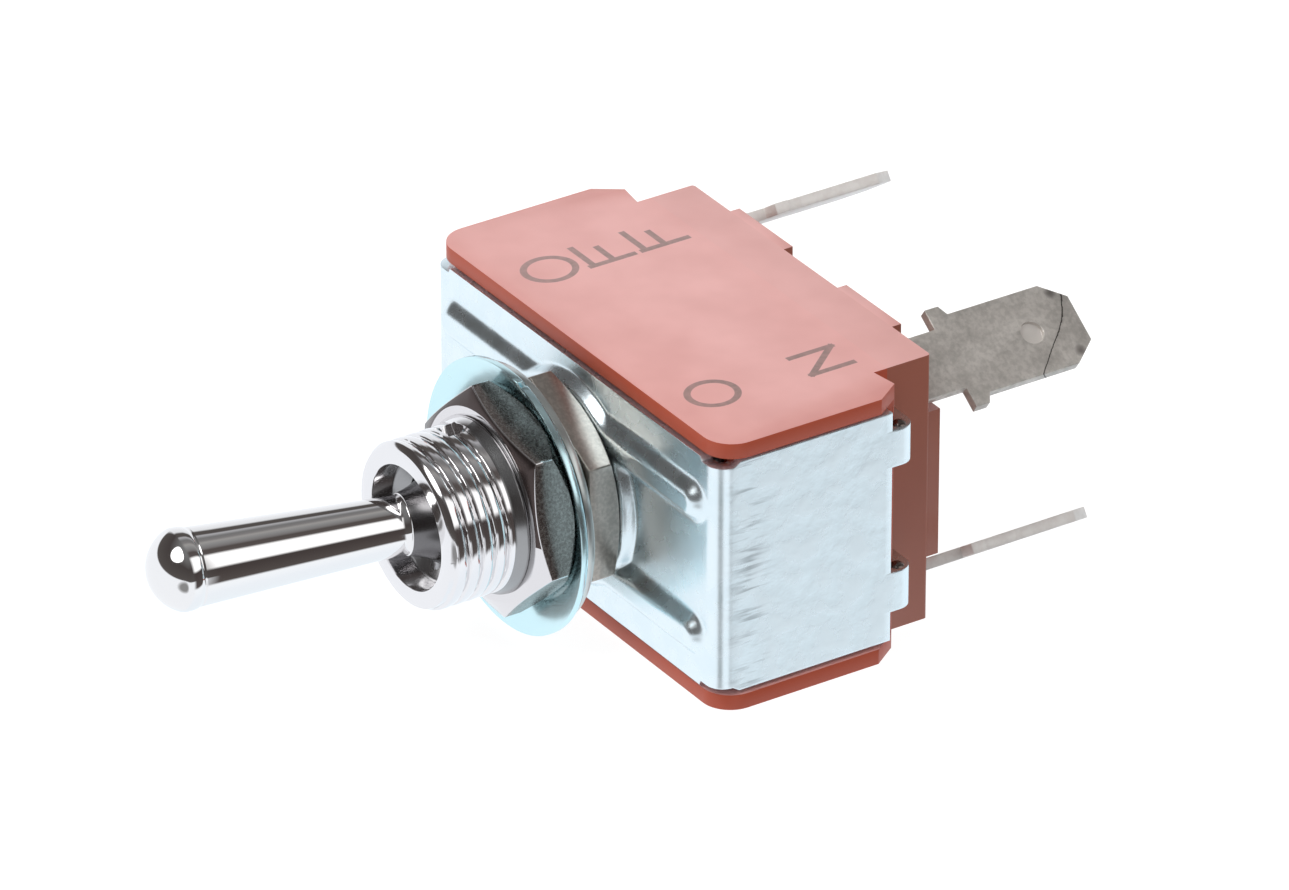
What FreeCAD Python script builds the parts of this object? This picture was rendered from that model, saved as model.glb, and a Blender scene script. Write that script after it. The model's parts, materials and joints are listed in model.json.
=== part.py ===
"""Panel toggle switch, double pole, on-off, with a threaded bushing and four push-on blades.

Millimetres. The origin is on the bushing's axis at the front face of the frame's plate, -Y runs out
of the bushing, +X runs along the case towards ON, and +Z is the printed face of the case.
The lever is drawn at rest in its OFF position, leaning towards -X.
"""
import FreeCAD, Part
import math
import os
import Sketcher

os.makedirs("parts", exist_ok=True)
doc = FreeCAD.newDocument("toggle_switch")
sheet = doc.addObject("Spreadsheet::Sheet", "Sizes")
V = FreeCAD.Vector
made = []


class Size:
    """A number together with the spreadsheet expression that gives it."""

    def __init__(self, value, text):
        self.value = float(value)
        self.text = text

    @staticmethod
    def of(other):
        """Takes a plain number or a Size and gives a Size."""
        return other if isinstance(other, Size) else Size(other, "%.6g" % other)

    def _with(self, other, sign, work):
        other = Size.of(other)
        return Size(work(self.value, other.value), "(%s %s %s)" % (self.text, sign, other.text))

    def __add__(self, other):
        return self._with(other, "+", lambda a, b: a + b)

    def __sub__(self, other):
        return self._with(other, "-", lambda a, b: a - b)

    def __mul__(self, other):
        return self._with(other, "*", lambda a, b: a * b)

    def __truediv__(self, other):
        return self._with(other, "/", lambda a, b: a / b)

    def __neg__(self):
        return Size(-self.value, "(0 - %s)" % self.text)

    __radd__ = __add__
    __rmul__ = __mul__

    def __rsub__(self, other):
        return Size.of(other) - self


def cosine(angle):
    """Cosine of an angle in degrees."""
    return Size(math.cos(math.radians(angle.value)), "cos(%s)" % angle.text)


def sine(angle):
    """Sine of an angle in degrees."""
    return Size(math.sin(math.radians(angle.value)), "sin(%s)" % angle.text)


def root(size):
    """Square root."""
    return Size(math.sqrt(size.value), "sqrt(%s)" % size.text)


row_number = [0]


def size(alias, value, note):
    """Writes one driving dimension in the sheet and gives it back."""
    row_number[0] += 1
    row = row_number[0]
    sheet.set("A%d" % row, note)
    sheet.set("B%d" % row, "%.6g" % value)
    sheet.setAlias("B%d" % row, alias)
    return Size(value, "Sizes.%s" % alias)


# Case moulding
case_length = size("case_length", 36.0, "length of the case over its flanges")
case_height = size("case_height", 20.56, "height of the case over its flanges")
flange_thick = size("flange_thick", 1.15, "thickness of the top and bottom flange")
flange_front = size("flange_front", 0.2, "front edge of the flanges behind the frame's front face")
flange_depth = size("flange_depth", 12.85, "straight length of a flange's end edge")
shoulder_back = size("shoulder_back", 15.0, "rear of the wide part of the case")
shoulder_drop = size("shoulder_drop", 1.35, "how far a flange corner is cut back at its end")
base_inset = size("base_inset", 3.4, "step in from a flange's end to the narrow rear part")
base_back = size("base_back", 19.35, "rear face of the case")
band_inset = size("band_inset", 0.3, "step in from the narrow part's end to the raised band")
band_width = size("band_width", 11.3, "width of the raised band")
band_rise = size("band_rise", 1.05, "height of the raised band")
foot_inner = size("foot_inner", 3.3, "inner end of a rear foot from the middle")
foot_inset = size("foot_inset", 4.65, "step in from the narrow part's end to a rear foot")
foot_rise = size("foot_rise", 0.75, "height of a rear foot")
corner_round = size("corner_round", 2.2, "radius of the flanges' front corners")
rear_round = size("rear_round", 0.25, "radius of the narrow part's rear corners")
case_wall = size("case_wall", 1.4, "side wall of the case")
rear_wall = size("rear_wall", 1.6, "rear wall of the case")
pole_wall = size("pole_wall", 1.2, "wall between the two poles")
pole_wall_front = size("pole_wall_front", 10.2, "front edge of the wall between the poles")

# Folded frame
frame_inset = size("frame_inset", 0.2, "step in from a flange's end to the frame's folded end")
frame_gap = size("frame_gap", 0.28, "gap between the edge of the frame's sheet and a flange")
frame_depth = size("frame_depth", 14.1, "depth of the folded ends")
sheet_thick = size("sheet_thick", 1.0, "thickness of the frame's sheet")
fold_round = size("fold_round", 1.3, "outer radius of a fold")
emboss_rise = size("emboss_rise", 0.85, "height of the pressed ribs and boss")
boss_radius = size("boss_radius", 7.8, "radius of the pressed boss")
rib_width = size("rib_width", 3.5, "width of a pressed rib")
rib_edge = size("rib_edge", 4.0, "middle of a pressed rib from the sheet's edge")
rib_inset = size("rib_inset", 1.05, "step in from the frame's folded end to the end of a rib")
tab_edge = size("tab_edge", 3.35, "middle of a crimp tab from the sheet's edge")
tab_width = size("tab_width", 3.8, "width of a crimp tab")
tab_bend = size("tab_bend", 1.1, "outer bend radius of a crimp tab")
tab_reach = size("tab_reach", 2.9, "how far a crimp tab is turned in over the shoulder")
seat_gap = size("seat_gap", 0.1, "clearance between pieces that lie on each other")

# Bushing, nuts and washers
thread_radius = size("thread_radius", 6.0, "outer radius of the bushing's thread")
bushing_length = size("bushing_length", 13.5, "bushing in front of the frame's front face")
mouth_radius = size("mouth_radius", 4.45, "bore at the bushing's mouth")
mouth_depth = size("mouth_depth", 1.8, "depth of the wide mouth")
mouth_chamfer = size("mouth_chamfer", 0.3, "chamfer at the thread's front end")
bushing_flange = size("bushing_flange", 6.6, "radius of the bushing's rear flange")
keyway_width = size("keyway_width", 1.8, "width of the keyway in the thread")
keyway_deep = size("keyway_deep", 0.8, "depth of the keyway")
keyway_angle = size("keyway_angle", 100.0, "place of the keyway round the bushing")
keyway_front = size("keyway_front", 9.9, "front end of the keyway in front of the frame")
thread_gap = size("thread_gap", 0.04, "clearance of a nut on the plain thread cylinder")
washer_gap = size("washer_gap", 0.12, "clearance of a washer on the thread")
nut_flats = size("nut_flats", 14.5, "width across a nut's flats")
nut_back_thick = size("nut_back_thick", 2.35, "thickness of the back nut")
nut_front_thick = size("nut_front_thick", 3.1, "thickness of the front nut")
nut_chamfer = size("nut_chamfer", 0.6, "how far the back nut's corners are cut back at its rear")
nut_front_chamfer = size("nut_front_chamfer", 1.15, "how far the front nut's corners are cut back at its rear")
nut_back_turn = size("nut_back_turn", 33.0, "turn of the back nut's first corner")
nut_front_turn = size("nut_front_turn", 43.6, "turn of the front nut's first corner")
lock_radius = size("lock_radius", 9.3, "outer radius of the toothed washer")
lock_thick = size("lock_thick", 0.55, "thickness of the toothed washer's sheet")
tooth_count = size("tooth_count", 10, "teeth of the toothed washer")
tooth_slot = size("tooth_slot", 1.4, "gap between two teeth")
tooth_root = size("tooth_root", 7.2, "radius to the bottom of the gaps between the teeth")
ring_radius = size("ring_radius", 9.85, "outer radius of the locking ring")
ring_thick = size("ring_thick", 0.55, "thickness of the locking ring's sheet")
dish_start = size("dish_start", 7.6, "radius where the washer and the ring start to rise")
dish_slope = size("dish_slope", 0.58, "rise of the washer and the ring for each millimetre out")
slit_width = size("slit_width", 0.45, "width of the slit in the ring's rim")
slit_deep = size("slit_deep", 1.1, "depth of the slit in the ring's rim")
slit_angle = size("slit_angle", 78.0, "place of the slit round the ring")
stack_gap = size("stack_gap", 0.03, "gap between clamped faces")

# Lever and its pivot
pivot_depth = size("pivot_depth", 10.4, "pivot in front of the frame's front face")
rest_lean = size("rest_lean", 10.5, "lean of the lever at rest")
ball_radius = size("ball_radius", 3.4, "ball of the lever at its pivot")
ball_gap = size("ball_gap", 0.05, "clearance of the ball in the bushing")
pin_radius = size("pin_radius", 0.9, "pivot pin")
pin_reach = size("pin_reach", 4.6, "half length of the pivot pin")
pin_gap = size("pin_gap", 0.03, "clearance of the lever on its pin")
shaft_root = size("shaft_root", 2.07, "lever radius at the bushing's mouth")
shaft_end = size("shaft_end", 2.75, "lever radius behind its tip")
shaft_start = size("shaft_start", 3.7, "start of the plain shaft from the pivot")
shaft_stop = size("shaft_stop", 18.3, "end of the plain shaft from the pivot")
tip_radius = size("tip_radius", 2.9, "radius of the bulb at the tip")
tip_band = size("tip_band", 1.1, "length of the bulb before its dome")
tip_dome = size("tip_dome", 2.0, "height of the tip's dome")
tail_radius = size("tail_radius", 1.9, "lever's tail inside the bushing")
tail_depth = size("tail_depth", 3.0, "how far the lever's tail reaches into the carrier")
tail_bevel = size("tail_bevel", 0.3, "chamfer at the end of the lever's tail")

# Carrier, plungers and springs
carrier_start = size("carrier_start", 13.3, "front of the carrier from the pivot")
carrier_stop = size("carrier_stop", 18.6, "rear of the carrier from the pivot")
carrier_width = size("carrier_width", 6.8, "width of the carrier in the swing direction")
carrier_skin = size("carrier_skin", 0.75, "wall of the carrier round a plunger's bore, across the poles")
carrier_bevel = size("carrier_bevel", 0.8, "chamfer of the carrier's front edges, across")
carrier_slope = size("carrier_slope", 1.5, "chamfer of the carrier's front edges, along")
plunger_radius = size("plunger_radius", 2.0, "plunger in its bore")
plunger_gap = size("plunger_gap", 0.05, "clearance of a plunger in its bore")
plunger_start = size("plunger_start", 15.8, "open end of a plunger from the pivot")
plunger_shoulder = size("plunger_shoulder", 20.6, "end of a plunger's full radius from the pivot")
plunger_bore = size("plunger_bore", 1.45, "spring bore of a plunger")
nose_radius = size("nose_radius", 1.0, "radius of a plunger's nose")
bore_floor = size("bore_floor", 14.2, "floor of a plunger bore from the pivot")
wire_radius = size("wire_radius", 0.2, "half width of the spring wire")
coil_radius = size("coil_radius", 1.15, "mean radius of a spring's coil")
coil_pitch = size("coil_pitch", 1.25, "pitch of a spring's coil")

# Rockers and contacts
rocker_depth = size("rocker_depth", 14.55, "rocker pivot behind the frame's front face")
rocker_lean = size("rocker_lean", 8.0, "lean of a rocker at rest")
rocker_width = size("rocker_width", 5.6, "width of a rocker")
rocker_top = size("rocker_top", 1.6, "top of a rocker above its pivot")
saddle_low = size("saddle_low", 1.15, "middle of a rocker's saddle above its pivot")
saddle_reach = size("saddle_reach", 4.6, "half length of a rocker's saddle")
rocker_thick = size("rocker_thick", 1.0, "thickness of a rocker's arm")
rocker_round = size("rocker_round", 1.2, "radius of a rocker's pivot")
rocker_gap = size("rocker_gap", 0.05, "clearance of a rocker in its cradle")
contact_arm = size("contact_arm", 9.6, "contact from a rocker's pivot")
tail_arm = size("tail_arm", 6.6, "length of a rocker's plain arm")
contact_radius = size("contact_radius", 1.6, "radius of a contact")
contact_drop = size("contact_drop", 0.8, "height of a moving contact")
contact_gap = size("contact_gap", 0.05, "gap that is left between closed contacts")

# Blades and their feet
blade_width = size("blade_width", 6.35, "width of a push-on blade")
blade_thick = size("blade_thick", 0.8, "thickness of a blade")
blade_end = size("blade_end", 33.2, "tip of a blade behind the frame's front face")
blade_inset = size("blade_inset", 2.4, "middle of a blade from the narrow part's end")
blade_edge = size("blade_edge", 2.58, "middle of a blade from the case's top or bottom")
blade_turn = size("blade_turn", 35.0, "turn of a blade out of the case's length")
tip_cut = size("tip_cut", 1.4, "chamfer across a blade's tip")
tip_cut_long = size("tip_cut_long", 1.8, "chamfer along a blade's tip")
stop_start = size("stop_start", 22.5, "start of a blade's stop ears")
stop_stop = size("stop_stop", 24.0, "end of a blade's stop ears")
stop_rise = size("stop_rise", 0.75, "how far a stop ear stands out")
neck_width = size("neck_width", 4.7, "blade between the case and its stop ears")
root_width = size("root_width", 2.4, "blade through the case's rear wall")
dimple_radius = size("dimple_radius", 0.85, "latch dimple of a blade")
dimple_place = size("dimple_place", 29.25, "latch dimple behind the frame's front face")
dimple_deep = size("dimple_deep", 0.3, "depth of the latch dimple")
slot_gap = size("slot_gap", 0.08, "clearance of a blade in its slot")
foot_root = size("foot_root", 1.2, "foot's inner edge from the wall between the poles")
foot_rim = size("foot_rim", 0.6, "how far a foot reaches past its contact")
foot_step = size("foot_step", 3.4, "how far a wide foot reaches in from its blade")
foot_lap = size("foot_lap", 0.2, "lap between a foot and what stands on it")
ear_slope = size("ear_slope", 0.4, "slope behind a blade's stop ears")
cradle_rim = size("cradle_rim", 1.3, "how far a cradle reaches past the rocker's pivot")
cradle_foot = size("cradle_foot", 1.6, "how far the foot reaches past the rocker's pivot")
cradle_inset = size("cradle_inset", 0.7, "middle of a cradle's ear from the rocker's edge")
foot_margin = size("foot_margin", 0.3, "gap between a terminal's foot and the case's walls")
liner_thick = size("liner_thick", 0.4, "thickness of the insulating liner")
liner_slot = size("liner_slot", 5.4, "half length of the liner's slot for the lever")
liner_slot_high = size("liner_slot_high", 3.2, "half height of the liner's slot")
doc.recompute()

# Places that follow from the sizes
half_length = case_length / 2
half_height = case_height / 2
base_half = half_length - base_inset
band_length = (base_half - band_inset) * 2
foot_outer = base_half - foot_inset
frame_length = case_length - frame_inset * 2
frame_height = (half_height - flange_thick - frame_gap) * 2
rib_place = frame_height / 2 - rib_edge
rib_reach = frame_length / 2 - rib_inset
blade_x = base_half - blade_inset
blade_z = half_height - blade_edge
flange_inside = half_height - flange_thick
frame_end = frame_length / 2
body_end = frame_end - sheet_thick - seat_gap
liner_front = sheet_thick + seat_gap / 2
liner_back = liner_front + liner_thick
case_front = liner_back + seat_gap / 2
cavity_back = base_back - rear_wall
cavity_high = half_height - case_wall
cavity_end = base_half - case_wall + case_wall / 5
pole_place = cavity_high / 2
foot_side = cavity_end - foot_margin
foot_back = cavity_back - seat_gap
foot_front = foot_back - blade_thick
boss_inside = sheet_thick - emboss_rise
nut_radius = nut_flats / 2 / cosine(Size(30, "30"))
back_nut_rear = emboss_rise + stack_gap
back_nut_front = back_nut_rear + nut_back_thick
lock_front = back_nut_front + stack_gap + lock_thick
ring_front = lock_front + stack_gap + ring_thick
front_nut_rear = ring_front + stack_gap


def new_body(label):
    """Starts a body that becomes the solid of one named piece."""
    body = doc.addObject("PartDesign::Body", "Body_" + label)
    body.Label = label
    return body


def plane_of(body, role):
    """Finds one of a body's own origin planes."""
    return [item for item in body.Origin.OriginFeatures if item.Role == role][0]


def fix(sketch, geo, pos, across, along):
    """Ties a point of a sketch to two sizes."""
    for kind, where in (("DistanceX", Size.of(across)), ("DistanceY", Size.of(along))):
        number = sketch.addConstraint(Sketcher.Constraint(kind, -1, 1, geo, pos, where.value))
        if "Sizes." in where.text:
            sketch.setExpression("Constraints[%d]" % number, where.text)


def add_loop(sketch, corners):
    """Draws a closed outline. A corner is (across, along) and may add (cx, cy, way) for an arc
    from it to the next one round that centre, way +1 counter-clockwise and -1 clockwise."""
    first = sketch.GeometryCount
    count = len(corners)
    ends = []
    for number, corner in enumerate(corners):
        after = corners[(number + 1) % count]
        a = V(Size.of(corner[0]).value, Size.of(corner[1]).value, 0)
        b = V(Size.of(after[0]).value, Size.of(after[1]).value, 0)
        if len(corner) == 2:
            sketch.addGeometry(Part.LineSegment(a, b), False)
            ends.append((1, 2))
            continue
        centre = V(Size.of(corner[2][0]).value, Size.of(corner[2][1]).value, 0)
        circle = Part.Circle(centre, V(0, 0, 1), (a - centre).Length)
        turn_a = math.atan2(a.y - centre.y, a.x - centre.x)
        turn_b = math.atan2(b.y - centre.y, b.x - centre.x)
        if corner[2][2] > 0:
            sketch.addGeometry(Part.ArcOfCircle(circle, turn_a, turn_b), False)
            ends.append((1, 2))
        else:
            sketch.addGeometry(Part.ArcOfCircle(circle, turn_b, turn_a), False)
            ends.append((2, 1))
    for number, corner in enumerate(corners):
        geo = first + number
        after = first + (number + 1) % count
        sketch.addConstraint(
            Sketcher.Constraint("Coincident", geo, ends[number][1], after, ends[(number + 1) % count][0]))
        fix(sketch, geo, ends[number][0], corner[0], corner[1])
    for number, corner in enumerate(corners):
        if len(corner) == 2:
            continue
        after = corners[(number + 1) % count]
        wide = abs(Size.of(after[0]).value - Size.of(corner[0]).value)
        high = abs(Size.of(after[1]).value - Size.of(corner[1]).value)
        kind, where = ("DistanceX", corner[2][0]) if high >= wide else ("DistanceY", corner[2][1])
        where = Size.of(where)
        index = sketch.addConstraint(Sketcher.Constraint(kind, -1, 1, first + number, 3, where.value))
        if "Sizes." in where.text:
            sketch.setExpression("Constraints[%d]" % index, where.text)


def add_circle(sketch, across, along, radius):
    """Draws a circle."""
    radius = Size.of(radius)
    where = V(Size.of(across).value, Size.of(along).value, 0)
    geo = sketch.addGeometry(Part.Circle(where, V(0, 0, 1), radius.value), False)
    fix(sketch, geo, 3, across, along)
    number = sketch.addConstraint(Sketcher.Constraint("Radius", geo, radius.value))
    sketch.setExpression("Constraints[%d]" % number, radius.text)


def draw(body, plane, loops=(), circles=(), level=None, turn=None):
    """Puts a sketch on one of a body's planes, moved along the plane's normal by level and
    turned in the plane by turn degrees."""
    sketch = body.newObject("Sketcher::SketchObject", "Sketch")
    sketch.AttachmentSupport = [(plane_of(body, plane), "")]
    sketch.MapMode = "FlatFace"
    if level is not None:
        level = Size.of(level)
        sketch.AttachmentOffset = FreeCAD.Placement(V(0, 0, level.value), FreeCAD.Rotation())
        sketch.setExpression("AttachmentOffset.Base.z", level.text)
    if turn is not None:
        place = sketch.AttachmentOffset
        place.Rotation = FreeCAD.Rotation(V(0, 0, 1), turn.value)
        sketch.AttachmentOffset = place
        sketch.setExpression("AttachmentOffset.Rotation.Angle", turn.text)
    for corners in loops:
        add_loop(sketch, corners)
    for circle in circles:
        add_circle(sketch, *circle)
    return sketch


def pad(body, sketch, length, both=False, backwards=False):
    """Pads a sketch."""
    length = Size.of(length)
    feature = body.newObject("PartDesign::Pad", "Pad")
    feature.Profile = sketch
    feature.Length = length.value
    feature.setExpression("Length", length.text)
    feature.Midplane = both
    feature.Reversed = backwards
    return feature


def pocket(body, sketch, length, both=False, backwards=False):
    """Cuts a sketch out of its body."""
    length = Size.of(length)
    feature = body.newObject("PartDesign::Pocket", "Pocket")
    feature.Profile = sketch
    feature.Length = length.value
    feature.setExpression("Length", length.text)
    feature.Midplane = both
    feature.Reversed = backwards
    return feature


def turned(body, sketch, cut=False):
    """Turns a sketch round the body's Y axis."""
    kind = "Groove" if cut else "Revolution"
    feature = body.newObject("PartDesign::" + kind, kind)
    feature.Profile = sketch
    feature.ReferenceAxis = (sketch, ["V_Axis"])
    feature.Angle = 360
    return feature


def soften(body, feature, wanted, radius):
    """Rounds the edges of a feature that a test picks out."""
    doc.recompute()
    names = ["Edge%d" % (n + 1) for n, edge in enumerate(feature.Shape.Edges) if wanted(edge)]
    fillet = body.newObject("PartDesign::Fillet", "Fillet")
    fillet.Base = (feature, names)
    fillet.Radius = radius.value
    fillet.setExpression("Radius", radius.text)
    return fillet


def upright(across, along, sheet_place=0.02):
    """A test for edges that run along Z through one place."""
    across = Size.of(across).value
    along = Size.of(along).value

    def wanted(edge):
        points = [vertex.Point for vertex in edge.Vertexes]
        if len(points) != 2 or abs(points[0].z - points[1].z) < 0.05:
            return False
        return all(abs(p.x - across) < sheet_place and abs(p.y - along) < sheet_place for p in points)

    return wanted


def any_of(*tests):
    """A test that passes where one of several does."""
    return lambda edge: any(test(edge) for test in tests)


def place(body, across, along, high, axis=None, angle=None):
    """Places a body, turned about one axis."""
    turn = FreeCAD.Rotation(axis, angle.value) if axis else FreeCAD.Rotation()
    spots = [Size.of(across), Size.of(along), Size.of(high)]
    body.Placement = FreeCAD.Placement(V(*[spot.value for spot in spots]), turn)
    for name, spot in zip("xyz", spots):
        if "Sizes." in spot.text:
            body.setExpression("Placement.Base." + name, spot.text)
    if axis:
        body.setExpression("Placement.Rotation.Angle", angle.text)


def rectangle(left, low, right, high):
    """Corners of a rectangle."""
    return [(left, low), (right, low), (right, high), (left, high)]


def finish(label, thing):
    """Keeps a finished piece for export."""
    thing.Label = label
    made.append((label, thing))


UP = V(0, 0, 1)
SIDE = V(0, 1, 0)


def make_case():
    """The moulded case: a cup that is open to the front, with flanges over and under the frame."""
    body = new_body("case")
    end_back = flange_front + flange_depth
    outline = [(-half_length, flange_front), (half_length, flange_front), (half_length, end_back),
               (half_length - shoulder_drop, shoulder_back), (base_half, shoulder_back - 0.3),
               (base_half, base_back), (-base_half, base_back),
               (-base_half, shoulder_back - 0.3), (-half_length + shoulder_drop, shoulder_back),
               (-half_length, end_back)]
    last = pad(body, draw(body, "XY_Plane", [outline]), case_height, both=True)
    tests = [upright(side * half_length.value, flange_front) for side in (-1, 1)]
    last = soften(body, last, any_of(*tests), corner_round)
    tests = [upright(side * base_half.value, base_back) for side in (-1, 1)]
    soften(body, last, any_of(*tests), rear_round)
    wide = half_length + 2
    seat = [(-wide, flange_front - 3), (wide, flange_front - 3), (wide, shoulder_back + 1),
            (body_end, shoulder_back + 1), (body_end, case_front), (-body_end, case_front),
            (-body_end, shoulder_back + 1), (-wide, shoulder_back + 1)]
    pocket(body, draw(body, "XY_Plane", [seat]), flange_inside * 2, both=True)
    band = rectangle(-band_length / 2, -band_width / 2, band_length / 2, band_width / 2)
    pad(body, draw(body, "XZ_Plane", [band], level=-base_back), band_rise, backwards=True)
    feet = [rectangle(side * foot_inner, up * band_width / 2, side * foot_outer, up * half_height)
            for side in (-1, 1) for up in (-1, 1)]
    pad(body, draw(body, "XZ_Plane", feet, level=-base_back), foot_rise, backwards=True)
    wide_end = body_end - case_wall
    narrow_end = cavity_end
    wide_back = shoulder_back - case_wall
    cavity = [(-wide_end, case_front - 1), (wide_end, case_front - 1), (wide_end, wide_back),
              (narrow_end, wide_back), (narrow_end, cavity_back), (-narrow_end, cavity_back),
              (-narrow_end, wide_back), (-wide_end, wide_back)]
    pocket(body, draw(body, "XY_Plane", [cavity]), cavity_high * 2, both=True)
    wall = rectangle(-narrow_end - 0.2, pole_wall_front, narrow_end + 0.2, cavity_back + 0.2)
    pad(body, draw(body, "XY_Plane", [wall]), pole_wall, both=True)
    slots = []
    half_wide = root_width / 2 + slot_gap
    half_thin = blade_thick / 2 + slot_gap
    for side in (-1, 1):
        for up in (-1, 1):
            # The sketch looks out of the front, so its second direction is the case's Z.
            run = (cosine(blade_turn), -side * up * sine(blade_turn))
            corners = []
            for a, b in ((-1, -1), (1, -1), (1, 1), (-1, 1)):
                corners.append((side * blade_x + a * half_wide * run[0] - b * half_thin * run[1],
                                up * blade_z + a * half_wide * run[1] + b * half_thin * run[0]))
            slots.append(corners)
    pocket(body, draw(body, "XZ_Plane", slots, level=-cavity_back + 0.5), rear_wall + 2)
    finish("case", body)


def make_frame():
    """The folded steel frame: plate, two ends, pressed ribs and boss, and crimp tabs."""
    body = new_body("frame")
    inside = frame_end - sheet_thick
    outline = [(-frame_end, 0), (frame_end, 0), (frame_end, frame_depth), (inside, frame_depth),
               (inside, sheet_thick), (-inside, sheet_thick), (-inside, frame_depth),
               (-frame_end, frame_depth)]
    folded = pad(body, draw(body, "XY_Plane", [outline]), frame_height, both=True)
    tests = [upright(side * frame_end.value, 0) for side in (-1, 1)]
    folded = soften(body, folded, any_of(*tests), fold_round)
    tests = [upright(side * inside.value, sheet_thick) for side in (-1, 1)]
    folded = soften(body, folded, any_of(*tests), fold_round - sheet_thick)
    # Crimp tabs, turned in over the shoulder of the case.
    tab_back = shoulder_back + seat_gap + sheet_thick
    for side in (-1, 1):
        corner = [(side * inside, frame_depth - 0.5), (side * frame_end, frame_depth - 0.5),
                  (side * frame_end, tab_back - tab_bend,
                   (side * (frame_end - tab_bend), tab_back - tab_bend, side)),
                  (side * (frame_end - tab_bend), tab_back), (side * (frame_end - tab_reach), tab_back),
                  (side * (frame_end - tab_reach), tab_back - sheet_thick),
                  (side * inside, tab_back - sheet_thick)]
        for up in (-1, 1):
            middle = (frame_height / 2 - tab_edge) * up
            pad(body, draw(body, "XY_Plane", [corner], level=middle), tab_width, both=True)
    half = rib_width / 2
    reach = rib_reach - half
    ribs = []
    for up in (-1, 1):
        mid = rib_place * up
        ribs.append([(-reach, mid - half), (reach, mid - half, (reach, mid, 1)), (reach, mid + half),
                     (-reach, mid + half, (-reach, mid, 1))])
    pad(body, draw(body, "XZ_Plane", ribs, level=-0.2), emboss_rise + 0.2)
    pad(body, draw(body, "XZ_Plane", (), [(0, 0, boss_radius)]), emboss_rise)
    # The press leaves the same shape hollow behind.
    thin = half - (sheet_thick - 0.1)
    hollow = []
    for up in (-1, 1):
        mid = rib_place * up
        hollow.append([(-reach, mid - thin), (reach, mid - thin, (reach, mid, 1)), (reach, mid + thin),
                       (-reach, mid + thin, (-reach, mid, 1))])
    pocket(body, draw(body, "XZ_Plane", hollow, level=-boss_inside), emboss_rise + 0.5)
    inner = boss_radius - sheet_thick
    pocket(body, draw(body, "XZ_Plane", (), [(0, 0, inner)], level=-boss_inside), emboss_rise + 0.5)
    pocket(body, draw(body, "XZ_Plane", (), [(0, 0, thread_radius + thread_gap)]), frame_depth, both=True)
    finish("frame", body)


def make_bushing():
    """The threaded bushing, drawn at its thread's outer radius, with a keyway and slots for the pin."""
    body = new_body("bushing")
    front = -bushing_length
    seat = -pivot_depth
    bore = ball_radius + ball_gap
    rear_bore = mouth_radius - 0.05
    outline = [(mouth_radius, front), (thread_radius - mouth_chamfer, front),
               (thread_radius, front + mouth_chamfer), (thread_radius, boss_inside + seat_gap / 2),
               (bushing_flange, boss_inside + seat_gap / 2), (bushing_flange, sheet_thick),
               (rear_bore, sheet_thick), (bore, seat + 1.6), (bore, seat - 0.6),
               (mouth_radius, front + mouth_depth)]
    turned(body, draw(body, "XY_Plane", [outline]))
    low = thread_radius - keyway_deep
    groove = rectangle(low, -keyway_width / 2, thread_radius + 1, keyway_width / 2)
    pocket(body, draw(body, "XZ_Plane", [groove], level=keyway_front, turn=keyway_angle),
           keyway_front + boss_inside - 0.2)
    slot = [(-pin_radius - pin_gap / 2, sheet_thick + 1),
            (-pin_radius - pin_gap / 2, seat, (0, seat, 1)),
            (pin_radius + pin_gap / 2, seat), (pin_radius + pin_gap / 2, sheet_thick + 1)]
    pocket(body, draw(body, "XY_Plane", [slot]), pin_reach * 2 + 0.1, both=True)
    finish("bushing", body)


def make_pin():
    """The pivot pin, held in the bushing's two slots."""
    body = new_body("pivot_pin")
    pad(body, draw(body, "XY_Plane", (), [(0, -pivot_depth, pin_radius)]), pin_reach * 2, both=True)
    finish("pivot_pin", body)


def make_nut(label, rear, thick, bevel, turn):
    """A thin hexagon nut, chamfered on its rear side."""
    body = new_body(label)
    corners = [(nut_radius * math.cos(math.radians(60 * k)), nut_radius * math.sin(math.radians(60 * k)))
               for k in range(6)]
    hole = (0, 0, thread_radius + thread_gap)
    pad(body, draw(body, "XZ_Plane", [corners], [hole], level=rear, turn=turn), thick)
    flat = nut_flats / 2 - 0.1
    cone = [(flat, -rear + 0.2), (nut_radius + 1, -rear + 0.2), (nut_radius + 1, -rear - bevel * 1.9),
            (nut_radius, -rear - bevel), (flat, -rear)]
    turned(body, draw(body, "XY_Plane", [cone]), cut=True)
    finish(label, body)


def dished(body, outer, front, thick):
    """A ring that is flat where a nut clamps it and rises towards its rim."""
    inner = thread_radius + washer_gap
    lift = (outer - dish_start) * dish_slope
    rear = front - thick
    outline = [(inner, -front), (dish_start, -front), (outer, -front - lift), (outer, -rear - lift),
               (dish_start, -rear), (inner, -rear)]
    turned(body, draw(body, "XY_Plane", [outline]))


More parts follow.
